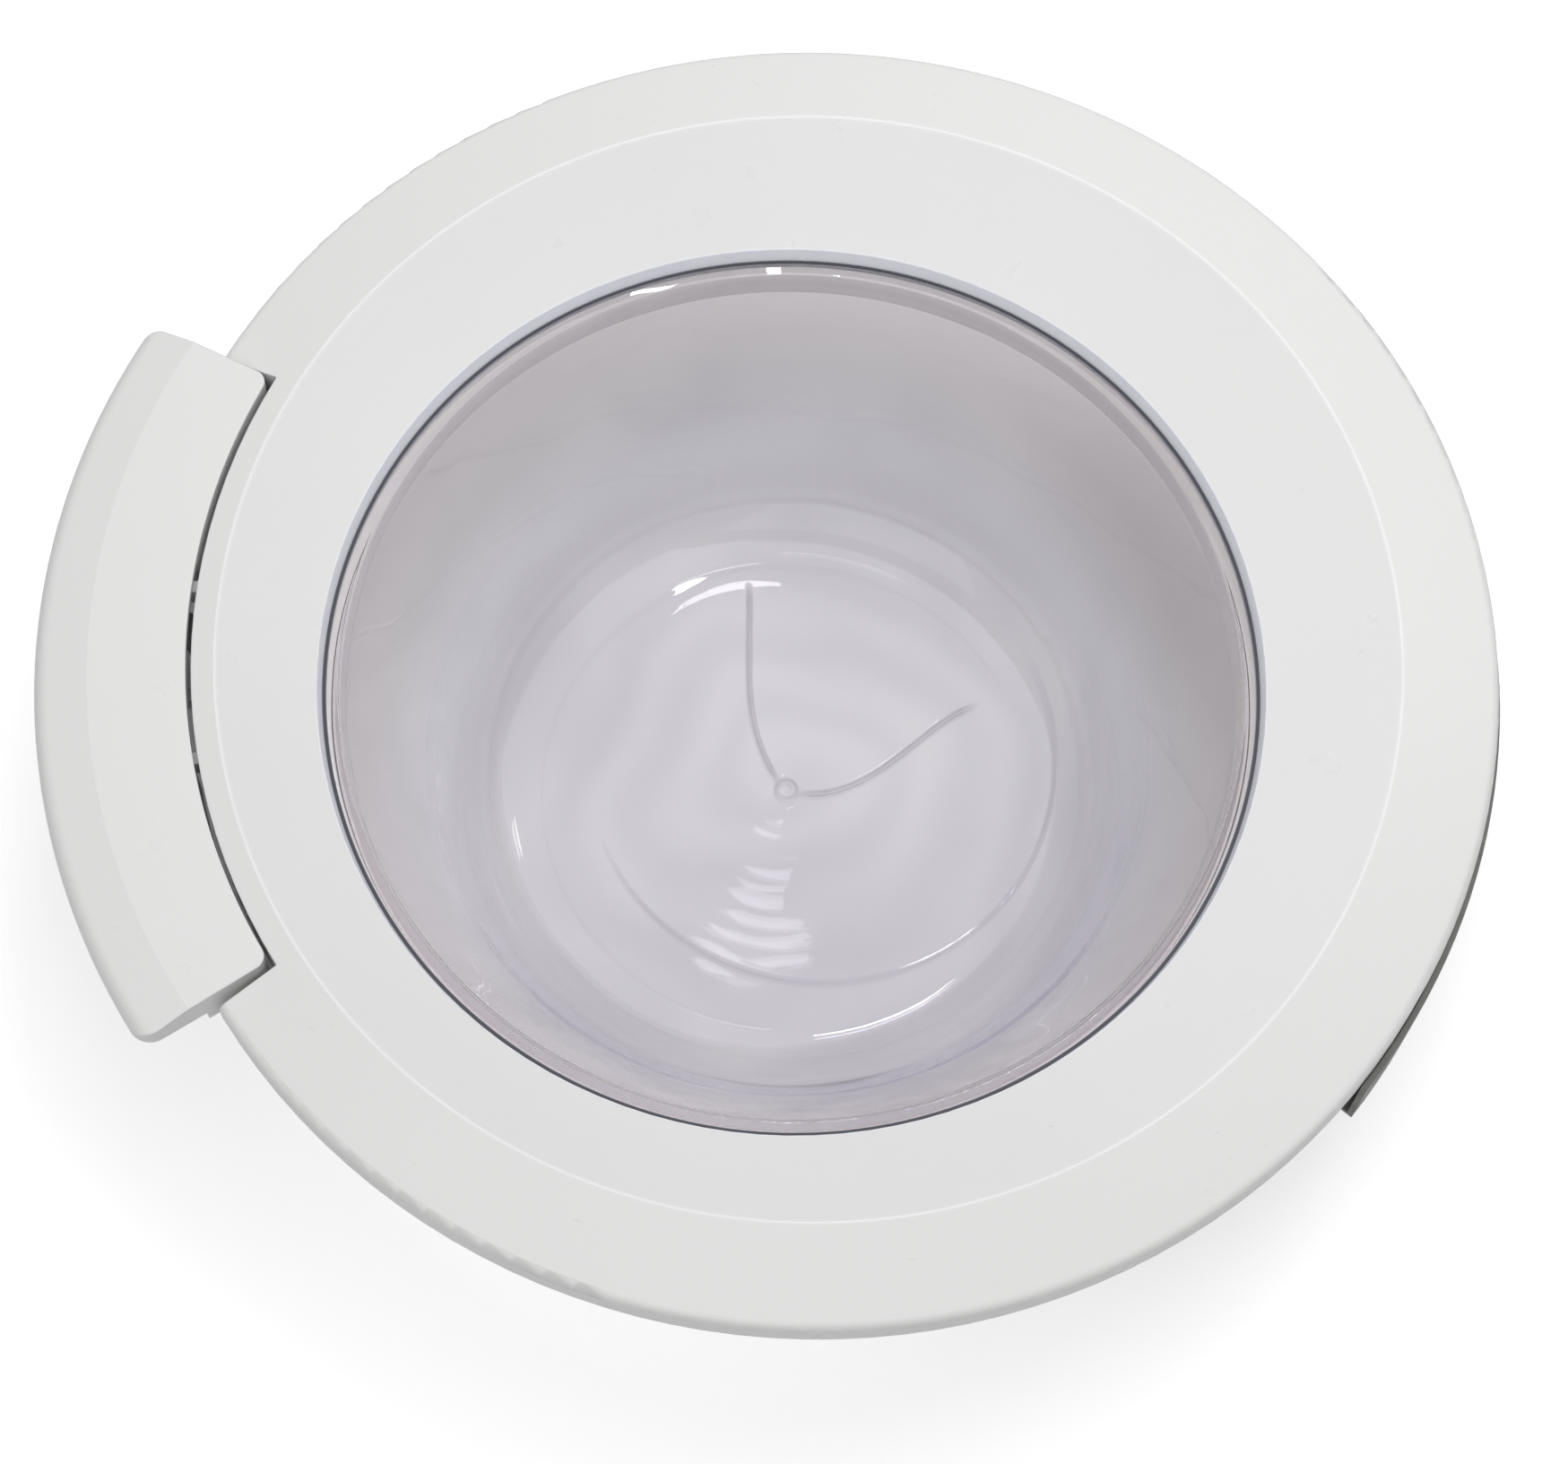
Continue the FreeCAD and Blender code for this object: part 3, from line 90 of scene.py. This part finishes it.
# Metals and paint
DRAWN_SCALE = 400
DRAWN_DEPTH = 0.00005
SCUFF_SCALE = 180
SCUFF_DEPTH = 0.0001

# Glass, its marks and their heights
GLASS_INDEX = 1.5
BOUNCE_LIMIT = 4.5
RING_PITCH = 900.0
RING_WANDER = 9.0
RING_HEIGHT = 0.000012
COIL_PITCH = 210.0
COIL_WANDER = 14.0
COIL_HEIGHT = 0.00004
FLOW_LINES = (((2.25, -12.5, 70.0), 0.006, 0.078), ((-0.40, 22.0, -150.0), 0.006, 0.074))
FLOW_WIDTH = 0.0009
FLOW_FADE = 0.004
FLOW_HEIGHT = 0.00045
SWIRL_MIDDLE = (0.013, 0.012)
SWIRL_RADIUS = 0.0845
SWIRL_WIDTH = 0.0008
SWIRL_ARC = (-2.6, 0.25)
SWIRL_FADE = 0.25
SWIRL_HEIGHT = 0.00012
PIP_RADIUS = 0.0036
PIP_WIDTH = 0.0007
WAVE_HEIGHTS = (0.0003, 0.0022)
WAVE_LEVELS = (0.007, 0.045)
# Painted shade in the tint: a warmer grey on the upper wall
UPPER_PAINTED_SHADE = (0.95, 0.925, 0.93)
# Painted shadow in the tint on the upper right wall
PAINTED_SHADOW_TONE = (0.86, 0.83, 0.845)
LOW_WALL_TONE = (0.93, 0.925, 0.975)

# Glass bowl's section
GLASS = 0.0055
WALL_SLOPE = math.radians(21.9)
MOUTH_RADIUS = 0.1498
MOUTH_BEND = 0.002
FLANGE_RADIUS = 0.168
FLANGE_THICKNESS = 0.006
FACE_LEVEL = 0.112
CORNER_ROLL = 0.028
CORNER_STEPS = 22
MOUTH_STEPS = 8
PIP_SECTION = [(0.0, 0.0058), (0.0012, 0.00585), (0.0019, 0.00622), (0.0026, 0.0063), (0.0033, 0.00605)]
PIP_FOOT = 0.0038
FOOT_EDGE = 0.002
FOOT_RECESS = 0.00015
FOOT_MIDDLE = 0.004
BOWL_TURNS = 288

# Floor: its colour for light that bounces, for reflections, and what the camera sees on top of that
FLOOR_HALF = 6.0
FLOOR_BOUNCE = (0.74, 0.735, 0.74, 1)
FLOOR_MIRRORED = (0.80, 0.795, 0.795, 1)
FLOOR_LIFT = (0.46, 0.46, 0.46, 1)

# Light: the surround's strength from the horizon up, and lamps by place, aim, two sides and power
DOME_STRENGTH = (0.02, 1.45)
DOME_HEIGHTS = (0.35, 1.0)
LAMPS = (
    ("key", (0.32, 0.32, 0.85), (0.22, 0.22, 0.1), 0.95, 0.95, 3.0),
    ("fill", (-0.45, -1.0, 1.12), (0.05, 0.05, 0.12), 1.4, 1.4, 3.4),
    ("spark", (-0.01, 0.665, 1.3), (0, 0, 0), 0.08, 0.055, 0.3),
    ("low_spark", (0.02, 0.37, 1.3), (0, 0, 0), 0.04, 0.05, 0.016),
    ("side_spark", (0.55, 0.5, 0.95), (0, 0, 0), 0.10, 0.06, 0.16),
)


# Node helpers
def new_material(name):
    """A node material, with its tree and its shader."""
    material = bpy.data.materials.new(name)
    material.use_nodes = True
    tree = material.node_tree
    return material, tree, tree.nodes["Principled BSDF"]


def maths(tree, operation, first, second=None):
    """One sum or function on one or two values, each a socket or a plain number."""
    node = tree.nodes.new("ShaderNodeMath")
    node.operation = operation
    for socket, value in zip(node.inputs, (first, second)):
        if isinstance(value, (int, float)):
            socket.default_value = value
        elif value is not None:
            tree.links.new(value, socket)
    return node.outputs["Value"]


def chain(tree, operation, values):
    """Several values joined one after another by the same operation."""
    result = values[0]
    for value in values[1:]:
        result = maths(tree, operation, result, value)
    return result


def add(tree, *values):
    return chain(tree, "ADD", values)


def multiply(tree, *values):
    return chain(tree, "MULTIPLY", values)


def spread(tree, value, low, high, start=0.3, stop=0.7):
    """Map a value on to a range; start and stop suit a noise texture."""
    node = tree.nodes.new("ShaderNodeMapRange")
    node.inputs["From Min"].default_value = start
    node.inputs["From Max"].default_value = stop
    node.inputs["To Min"].default_value = low
    node.inputs["To Max"].default_value = high
    tree.links.new(value, node.inputs["Value"])
    return node.outputs["Result"]


def soft_window(tree, value, low, high, edge):
    """One between two limits, falling to nothing outside them."""
    rise = spread(tree, value, 0, 1, low - edge, low + edge)
    fall = spread(tree, value, 1, 0, high - edge, high + edge)
    return multiply(tree, rise, fall)


def bell(tree, value, middle, width):
    """A smooth hump about a middle value."""
    off = maths(tree, "DIVIDE", maths(tree, "SUBTRACT", value, middle), width)
    return maths(tree, "POWER", 2.718, multiply(tree, -1.0, multiply(tree, off, off)))


def object_place(tree, scale=None):
    """The object's own coordinates, stretched by a scale for each axis where one is given."""
    place = tree.nodes.new("ShaderNodeTexCoord").outputs["Object"]
    if scale is None:
        return place
    mapping = tree.nodes.new("ShaderNodeMapping")
    mapping.inputs["Scale"].default_value = scale
    tree.links.new(place, mapping.inputs["Vector"])
    return mapping.outputs["Vector"]


def split_place(tree, place):
    split = tree.nodes.new("ShaderNodeSeparateXYZ")
    tree.links.new(place, split.inputs["Vector"])
    return [split.outputs[letter] for letter in "XYZ"]


def polar_place(tree, middle=(0.0, 0.0)):
    """Distance from an upright axis and the angle about it."""
    x, y = split_place(tree, object_place(tree))[:2]
    x = maths(tree, "SUBTRACT", x, middle[0])
    y = maths(tree, "SUBTRACT", y, middle[1])
    squares = add(tree, multiply(tree, x, x), multiply(tree, y, y))
    return maths(tree, "SQRT", squares), maths(tree, "ARCTAN2", y, x)


def noise(tree, vector, scale, detail=3.0, roughness=0.5):
    node = tree.nodes.new("ShaderNodeTexNoise")
    node.inputs["Scale"].default_value = scale
    node.inputs["Detail"].default_value = detail
    node.inputs["Roughness"].default_value = roughness
    tree.links.new(vector, node.inputs["Vector"])
    return node.outputs["Fac"]


def blend_colours(tree, factor, first, second):
    node = tree.nodes.new("ShaderNodeMix")
    node.data_type = "RGBA"
    node.inputs["A"].default_value = (*first, 1)
    node.inputs["B"].default_value = (*second, 1)
    tree.links.new(factor, node.inputs["Factor"])
    return node.outputs["Result"]


def layer_colour(tree, factor, under, colour):
    """A colour laid over another where the factor is one."""
    result = blend_colours(tree, factor, colour, colour)
    tree.links.new(under, result.node.inputs["A"])
    return result


def add_bump(tree, shader, height, strength, distance):
    node = tree.nodes.new("ShaderNodeBump")
    node.inputs["Strength"].default_value = strength
    node.inputs["Distance"].default_value = distance
    tree.links.new(height, node.inputs["Height"])
    tree.links.new(node.outputs["Normal"], shader.inputs["Normal"])
    return node


def round_edges(tree, bump):
    """Shade sharp edges as if they were rounded."""
    node = tree.nodes.new("ShaderNodeBevel")
    node.samples = ROUNDING_SAMPLES
    node.inputs["Radius"].default_value = ROUNDING
    tree.links.new(node.outputs["Normal"], bump.inputs["Normal"])


# Materials
def ring_painted_light_and_shade(tree, colour):
    """Painted shade outside the crease, a painted highlight along it, and painted bluish light on the
    lip round the glass.
    """
    radius = polar_place(tree, CREASE_MIDDLE)[0]
    # Painted shade: the slope outside the crease is coloured darker
    outside = spread(tree, radius, 0, 1, CREASE_RADIUS - CREASE_EDGE, CREASE_RADIUS + CREASE_EDGE)
    tone = layer_colour(tree, outside, colour, SLOPE_PAINTED_SHADE)
    # Painted highlight: a bright line along the crease
    crease = multiply(tree, bell(tree, radius, CREASE_RADIUS, CREASE_HIGHLIGHT_WIDTH), CREASE_HIGHLIGHT_SHARE)
    tone = layer_colour(tree, crease, tone, CREASE_PAINTED_HIGHLIGHT)
    # Painted light: a pale bluish band on the shaded lip round the glass
    lip = spread(tree, polar_place(tree)[0], 1, 0, LIP_INNER, LIP_OUTER)
    return layer_colour(tree, lip, tone, LIP_PAINTED_LIGHT)


def moulded_plastic(name, colour, shade, roughness, grain, grain_depth, tones=None):
    """Moulded plastic: faint tone drift, uneven gloss, rounded edges, a fine spark-eroded grain, and
    painted light and shade where given.
    """
    material, tree, shader = new_material(name)
    place = object_place(tree)
    drift = spread(tree, noise(tree, place, DRIFT_SCALE, 2), 0, 1)
    tone = blend_colours(tree, drift, colour, shade)
    tree.links.new(tones(tree, tone) if tones else tone, shader.inputs["Base Color"])
    dull, glossy = roughness * (1 - GLOSS_SPREAD), roughness * (1 + GLOSS_SPREAD)
    gloss = spread(tree, noise(tree, place, GLOSS_SCALE, 4), dull, glossy)
    tree.links.new(gloss, shader.inputs["Roughness"])
    round_edges(tree, add_bump(tree, shader, noise(tree, place, grain, 2), GRAIN_STRENGTH, grain_depth))
    shader.inputs["IOR"].default_value = 1.5
    return material


def metal(name, colour, roughness, stretch):
    """Bare or plated metal with fine drawn lines along one axis."""
    material, tree, shader = new_material(name)
    lines = noise(tree, object_place(tree, stretch), DRAWN_SCALE, 3)
    uneven = spread(tree, lines, roughness * 0.7, roughness * 1.3)
    tree.links.new(uneven, shader.inputs["Roughness"])
    dull = tuple(channel * 0.8 for channel in colour)
    tone = blend_colours(tree, spread(tree, lines, 0, 1), colour, dull)
    tree.links.new(tone, shader.inputs["Base Color"])
    shader.inputs["Metallic"].default_value = 1.0
    add_bump(tree, shader, lines, 0.2, DRAWN_DEPTH)
    return material


def worn_paint(name, colour, bare):
    """Dark satin paint with a few faint scuffs."""
    material, tree, shader = new_material(name)
    place = object_place(tree)
    scuffs = spread(tree, noise(tree, place, SCUFF_SCALE, 6, 0.7), 0, 0.5, 0.66, 0.74)
    tree.links.new(blend_colours(tree, scuffs, colour, bare), shader.inputs["Base Color"])
    satin = spread(tree, noise(tree, place, 90, 3), 0.35, 0.55)
    tree.links.new(satin, shader.inputs["Roughness"])
    add_bump(tree, shader, scuffs, 0.3, SCUFF_DEPTH)
    return material


def soft_rubber(name, colour, pale):
    """Rubber channel: a dark painted shadow line under the lip, pale where it wraps the flange."""
    material, tree, shader = new_material(name)
    # Painted shadow line: a dark ring under the lip
    shadow_line = soft_window(tree, polar_place(tree)[0], SHADOW_LINE_INNER, SHADOW_LINE_OUTER, SHADOW_LINE_EDGE)
    tree.links.new(blend_colours(tree, shadow_line, pale, colour), shader.inputs["Base Color"])
    shader.inputs["Roughness"].default_value = 0.5
    add_bump(tree, shader, noise(tree, object_place(tree), 900, 2), 0.2, 0.00005)
    return material


def flow_line(tree, radius, angle, curve, inner, outer):
    """A raised line left by the flow of the glass: its angle follows a curve over the radius."""
    start, turn, bend = curve
    along = add(tree, multiply(tree, radius, bend), turn)
    along = add(tree, multiply(tree, along, radius), start)
    apart = multiply(tree, maths(tree, "SUBTRACT", angle, along), radius)
    return multiply(tree, bell(tree, apart, 0.0, FLOW_WIDTH),
                    soft_window(tree, radius, inner, outer, FLOW_FADE))


def clear_shader(tree, shade):
    """Glass that lets light pass on through it, and rays that are trapped in it escape."""
    glass = tree.nodes.new("ShaderNodeBsdfGlass")
    glass.inputs["Roughness"].default_value = 0.0
    glass.inputs["IOR"].default_value = GLASS_INDEX
    clear = tree.nodes.new("ShaderNodeBsdfTransparent")
    clear.inputs["Color"].default_value = (*shade, 1)
    path = tree.nodes.new("ShaderNodeLightPath")
    through = maths(tree, "MAXIMUM", path.outputs["Is Shadow Ray"], path.outputs["Is Diffuse Ray"])
    trapped = maths(tree, "GREATER_THAN", path.outputs["Ray Depth"], BOUNCE_LIMIT)
    mix = tree.nodes.new("ShaderNodeMixShader")
    tree.links.new(maths(tree, "MAXIMUM", through, trapped), mix.inputs["Fac"])
    tree.links.new(glass.outputs["BSDF"], mix.inputs[1])
    tree.links.new(clear.outputs["BSDF"], mix.inputs[2])
    tree.links.new(mix.outputs["Shader"], tree.nodes["Material Output"].inputs["Surface"])
    return glass


def pressed_glass(name, tint, deep, shade):
    """Clear pressed glass with mould rings, flow lines and slow waves, and painted shade in its tint.
    """
    material, tree, shader = new_material(name)
    tree.nodes.remove(shader)
    glass = clear_shader(tree, shade)
    place = object_place(tree)
    level = split_place(tree, place)[2]
    radius, angle = polar_place(tree)

    wander = noise(tree, place, 14, 1)
    turns = add(tree, multiply(tree, radius, RING_PITCH), multiply(tree, wander, RING_WANDER))
    rings = multiply(tree, maths(tree, "SINE", turns), RING_HEIGHT,
                     soft_window(tree, radius, 0.012, 0.088, 0.006),
                     spread(tree, noise(tree, place, 11, 1), 0, 1, 0.45, 0.62))
    lines = add(tree, *[flow_line(tree, radius, angle, *line) for line in FLOW_LINES])
    swirl_radius, swirl_angle = polar_place(tree, SWIRL_MIDDLE)
    swirl = multiply(tree, bell(tree, swirl_radius, SWIRL_RADIUS, SWIRL_WIDTH),
                     soft_window(tree, swirl_angle, *SWIRL_ARC, SWIRL_FADE))
    coil = add(tree, multiply(tree, radius, COIL_PITCH),
               add(tree, angle, multiply(tree, wander, COIL_WANDER)))
    coil = maths(tree, "SINE", coil)

    # Darker towards the flat bottom: painted shade of the floor seen through it, and in part thicker
    # glass there; the rest is random tone, the pip and the marks in the glass
    depth_and_shade = add(tree, spread(tree, noise(tree, place, 9, 1), 0, 0.35),
                spread(tree, level, 0.35, 0.0, 0.007, 0.035),
                multiply(tree, bell(tree, radius, PIP_RADIUS, PIP_WIDTH), 0.5),
                add(tree, multiply(tree, coil, 0.07), 0.07),
                multiply(tree, lines, 0.9),
                multiply(tree, swirl, 0.8))
    tone = blend_colours(tree, depth_and_shade, tint, deep)
    # Painted shade: a warmer, darker grey on the upper wall, for the shaded frame and floor seen
    # through it
    tone = layer_colour(tree, spread(tree, level, 0.0, 0.75, 0.055, 0.10), tone, UPPER_PAINTED_SHADE)
    # Painted shadow: darker on the upper right wall
    painted_shadow = multiply(tree, soft_window(tree, angle, 0.15, 0.95, 0.3),
                     soft_window(tree, level, 0.055, 0.105, 0.025), 0.7)
    tone = layer_colour(tree, painted_shadow, tone, PAINTED_SHADOW_TONE)
    low_wall = multiply(tree, bell(tree, level, 0.035, 0.02), 0.4)
    tree.links.new(layer_colour(tree, low_wall, tone, LOW_WALL_TONE), glass.inputs["Color"])

    slow = multiply(tree, noise(tree, object_place(tree, (1, 1, 0.35)), 16, 2, 0.4),
                    spread(tree, level, *WAVE_HEIGHTS, *WAVE_LEVELS))
    heights = add(tree, rings, multiply(tree, lines, FLOW_HEIGHT),
                  multiply(tree, swirl, SWIRL_HEIGHT), slow, multiply(tree, coil, COIL_HEIGHT))
    add_bump(tree, glass, heights, 1.0, 1.0)
    return material


FINISHES = {
    "white_plastic": moulded_plastic("door_white", (0.79, 0.79, 0.785), (0.77, 0.77, 0.77),
                                     0.32, 2600, 0.00002, ring_painted_light_and_shade),
    "rear_plastic": moulded_plastic("rear_grey", (0.84, 0.835, 0.84), (0.80, 0.80, 0.805),
                                    0.55, 1800, 0.00005),
    "nylon": moulded_plastic("bush_nylon", (0.7, 0.68, 0.62), (0.66, 0.64, 0.58),
                             0.45, 1500, 0.00003),
    "steel": metal("plated_steel", (0.62, 0.61, 0.6), 0.3, (1, 0.1, 1)),
    "zinc": metal("cast_zinc", (0.5, 0.5, 0.51), 0.42, (1, 1, 1)),
    "hinge_paint": worn_paint("hinge_dark", (0.135, 0.14, 0.13), (0.45, 0.45, 0.43)),
    # Dark colour: the painted shadow line under the lip; pale colour: the channel round the flange
    "seal_rubber": soft_rubber("seal_painted_shadow", (0.045, 0.045, 0.06), (0.62, 0.61, 0.68)),
    "glass": pressed_glass("door_glass", (0.97, 0.967, 0.975), (0.80, 0.79, 0.83),
                           (0.94, 0.935, 0.945)),
}


def dress_nodes():
    """Give every carried-over piece the finish of its material slot."""
    for part in frame["record"]["subparts"]:
        for holder in frame["nodes"][part["node"]].material_slots:
            holder.material = FINISHES[part["material_slot"]]


# Glass bowl, turned from its own section so that its faces are smooth
def line_steps(start, end, step):
    """Points from start towards end, the end left out."""
    count = max(1, round(math.dist(start, end) / step))
    across, up = end[0] - start[0], end[1] - start[1]
    return [(start[0] + across * index / count, start[1] + up * index / count)
            for index in range(count)]


def arc_point(centre, radius, angle):
    return centre[0] + radius * math.cos(angle), centre[1] + radius * math.sin(angle)


def arc_steps(centre, radius, first, last, count):
    """Points along an arc between two angles, the last left out."""
    return [arc_point(centre, radius, first + (last - first) * index / count)
            for index in range(count)]


def glass_section():
    """The section from the pip's middle over the flange to the middle of the foot."""
    down, slope = -math.pi / 2, -WALL_SLOPE
    mouth = (MOUTH_RADIUS, FACE_LEVEL - MOUTH_BEND)
    corner = mouth[0] - (mouth[1] - GLASS) * math.tan(WALL_SLOPE)
    roll_length = CORNER_ROLL * math.tan((math.pi / 2 - WALL_SLOPE) / 2)
    centre = (corner - roll_length, GLASS + CORNER_ROLL)
    outer_roll = CORNER_ROLL + GLASS
    outer_start = arc_point(centre, outer_roll, slope)
    rear = FACE_LEVEL - FLANGE_THICKNESS
    flange_root = (outer_start[0] + (rear - outer_start[1]) * math.tan(WALL_SLOPE), rear)
    bend_centre = (MOUTH_RADIUS + MOUTH_BEND, mouth[1])
    foot_edge = (centre[0] - FOOT_EDGE, FOOT_RECESS)

    section = list(PIP_SECTION)
    section += line_steps((PIP_FOOT, GLASS), (centre[0], GLASS), 0.002)
    section += arc_steps(centre, CORNER_ROLL, down, slope, CORNER_STEPS)
    section += line_steps(arc_point(centre, CORNER_ROLL, slope), mouth, 0.003)
    section += arc_steps(bend_centre, MOUTH_BEND, math.pi, math.pi / 2, MOUTH_STEPS)
    section += line_steps((bend_centre[0], FACE_LEVEL), (FLANGE_RADIUS, FACE_LEVEL), 0.004)
    section += line_steps((FLANGE_RADIUS, FACE_LEVEL), (FLANGE_RADIUS, rear), 0.003)
    section += line_steps((FLANGE_RADIUS, rear), flange_root, 0.004)
    section += line_steps(flange_root, outer_start, 0.006)
    section += arc_steps(centre, outer_roll, slope, down, CORNER_STEPS)
    section += line_steps((centre[0], 0.0), foot_edge, 0.001)
    section += line_steps(foot_edge, (FOOT_MIDDLE, FOOT_RECESS), 0.01)
    return section + [(0.0, FOOT_RECESS)]


def link_mesh(name, verts, faces):
    """A new object in the scene with a mesh of its own."""
    mesh = bpy.data.meshes.new(name)
    mesh.from_pydata(verts, [], faces)
    piece = bpy.data.objects.new(name, mesh)
    bpy.context.scene.collection.objects.link(piece)
    return piece


def turn_section(name, section, turns):
    """A closed form turned about the bowl's axis from a section that starts and ends on it."""
    rings = section[1:-1]
    verts = [(0.0, 0.0, section[0][1])]
    for radius, level in rings:
        for step in range(turns):
            angle = math.tau * step / turns
            verts.append((radius * math.cos(angle), radius * math.sin(angle), level))
    verts.append((0.0, 0.0, section[-1][1]))
    faces = []
    for step in range(turns):
        after = (step + 1) % turns
        faces.append((0, 1 + step, 1 + after))
        for ring in range(len(rings) - 1):
            low = 1 + ring * turns
            faces.append((low + step, low + turns + step, low + turns + after, low + after))
        last = 1 + (len(rings) - 1) * turns
        faces.append((last + step, len(verts) - 1, last + after))
    piece = link_mesh(name, verts, faces)
    piece.data.polygons.foreach_set("use_smooth", [True] * len(faces))
    return piece


def make_glass():
    piece = turn_section("pressed_bowl", glass_section(), BOWL_TURNS)
    piece.data.materials.append(FINISHES["glass"])
    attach(piece, "door")
    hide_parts("glass_bowl")


# Floor, light and camera
def seen_rays(tree):
    """Camera rays, and those with reflections and rays through glass, but no light that bounces."""
    path = tree.nodes.new("ShaderNodeLightPath").outputs
    mirror = maths(tree, "MAXIMUM", path["Is Glossy Ray"], path["Is Transmission Ray"])
    return path["Is Camera Ray"], maths(tree, "MAXIMUM", path["Is Camera Ray"], mirror)


def diffuse(tree, colour):
    paint = tree.nodes.new("ShaderNodeBsdfDiffuse")
    paint.inputs["Color"].default_value = colour
    return paint.outputs["BSDF"]


def make_floor():
    """A white floor that shows as a white background and keeps the door's shadow."""
    signs = ((-1, -1), (1, -1), (1, 1), (-1, 1))
    corners = [(x * FLOOR_HALF, y * FLOOR_HALF, FLOOR_LEVEL) for x, y in signs]
    floor = link_mesh("floor", corners, [(0, 1, 2, 3)])
    material, tree, shader = new_material("floor_white")
    shader.inputs["Base Color"].default_value = FLOOR_BOUNCE
    shader.inputs["Roughness"].default_value = 1.0
    shader.inputs["Specular IOR Level"].default_value = 0.0
    camera, mirror = seen_rays(tree)
    mirrored = diffuse(tree, FLOOR_MIRRORED)
    both = tree.nodes.new("ShaderNodeAddShader")
    tree.links.new(mirrored, both.inputs[0])
    tree.links.new(diffuse(tree, FLOOR_LIFT), both.inputs[1])
    surface = shader.outputs["BSDF"]
    for chosen, layer in ((mirror, mirrored), (camera, both.outputs["Shader"])):
        mix = tree.nodes.new("ShaderNodeMixShader")
        tree.links.new(chosen, mix.inputs["Fac"])
        tree.links.new(surface, mix.inputs[1])
        tree.links.new(layer, mix.inputs[2])
        surface = mix.outputs["Shader"]
    tree.links.new(surface, tree.nodes["Material Output"].inputs["Surface"])
    floor.data.materials.append(material)


def add_lamp(name, place, aim, width, height, power):
    light = bpy.data.lights.new(name, "AREA")
    light.shape = "RECTANGLE"
    light.size = width
    light.size_y = height
    light.energy = power
    lamp = bpy.data.objects.new(name, light)
    lamp.location = place
    way = Vector(aim) - Vector(place)
    lamp.rotation_euler = way.to_track_quat("-Z", "Y").to_euler()
    bpy.context.scene.collection.objects.link(lamp)


def make_light():
    """A white surround that lights from above, a soft key, a soft fill and three small bright lamps."""
    world = bpy.data.worlds.new("studio")
    bpy.context.scene.world = world
    world.use_nodes = True
    tree = world.node_tree
    surround = tree.nodes["Background"]
    surround.inputs["Color"].default_value = (1, 1, 1, 1)
    height = split_place(tree, tree.nodes.new("ShaderNodeTexCoord").outputs["Generated"])[2]
    dome = spread(tree, height, *DOME_STRENGTH, *DOME_HEIGHTS)
    strength = spread(tree, seen_rays(tree)[1], 0.0, 1.0, 0, 1)
    tree.links.new(dome, strength.node.inputs["To Min"])
    tree.links.new(strength, surround.inputs["Strength"])
    for lamp in LAMPS:
        add_lamp(*lamp)


def make_camera():
    """Stand the camera where the photograph was taken from."""
    data = bpy.data.cameras.new("camera")
    data.sensor_width = SENSOR_WIDTH
    data.lens = FOCAL_PIXELS / PICTURE_WIDTH * SENSOR_WIDTH
    data.clip_end = FAR_CLIP
    camera = bpy.data.objects.new("camera", data)
    bpy.context.scene.collection.objects.link(camera)
    turn = Matrix.Rotation(-CAMERA_SIDE, 4, "Z") @ Matrix.Rotation(CAMERA_TILT, 4, "X")
    roll = Matrix.Rotation(CAMERA_ROLL, 4, "Z")
    camera.matrix_world = Matrix.Translation(CAMERA_PLACE) @ turn @ roll
    bpy.context.scene.camera = camera


dress_nodes()
make_glass()
make_floor()
make_light()
make_camera()
bpy.context.scene.view_settings.view_transform = "Standard"
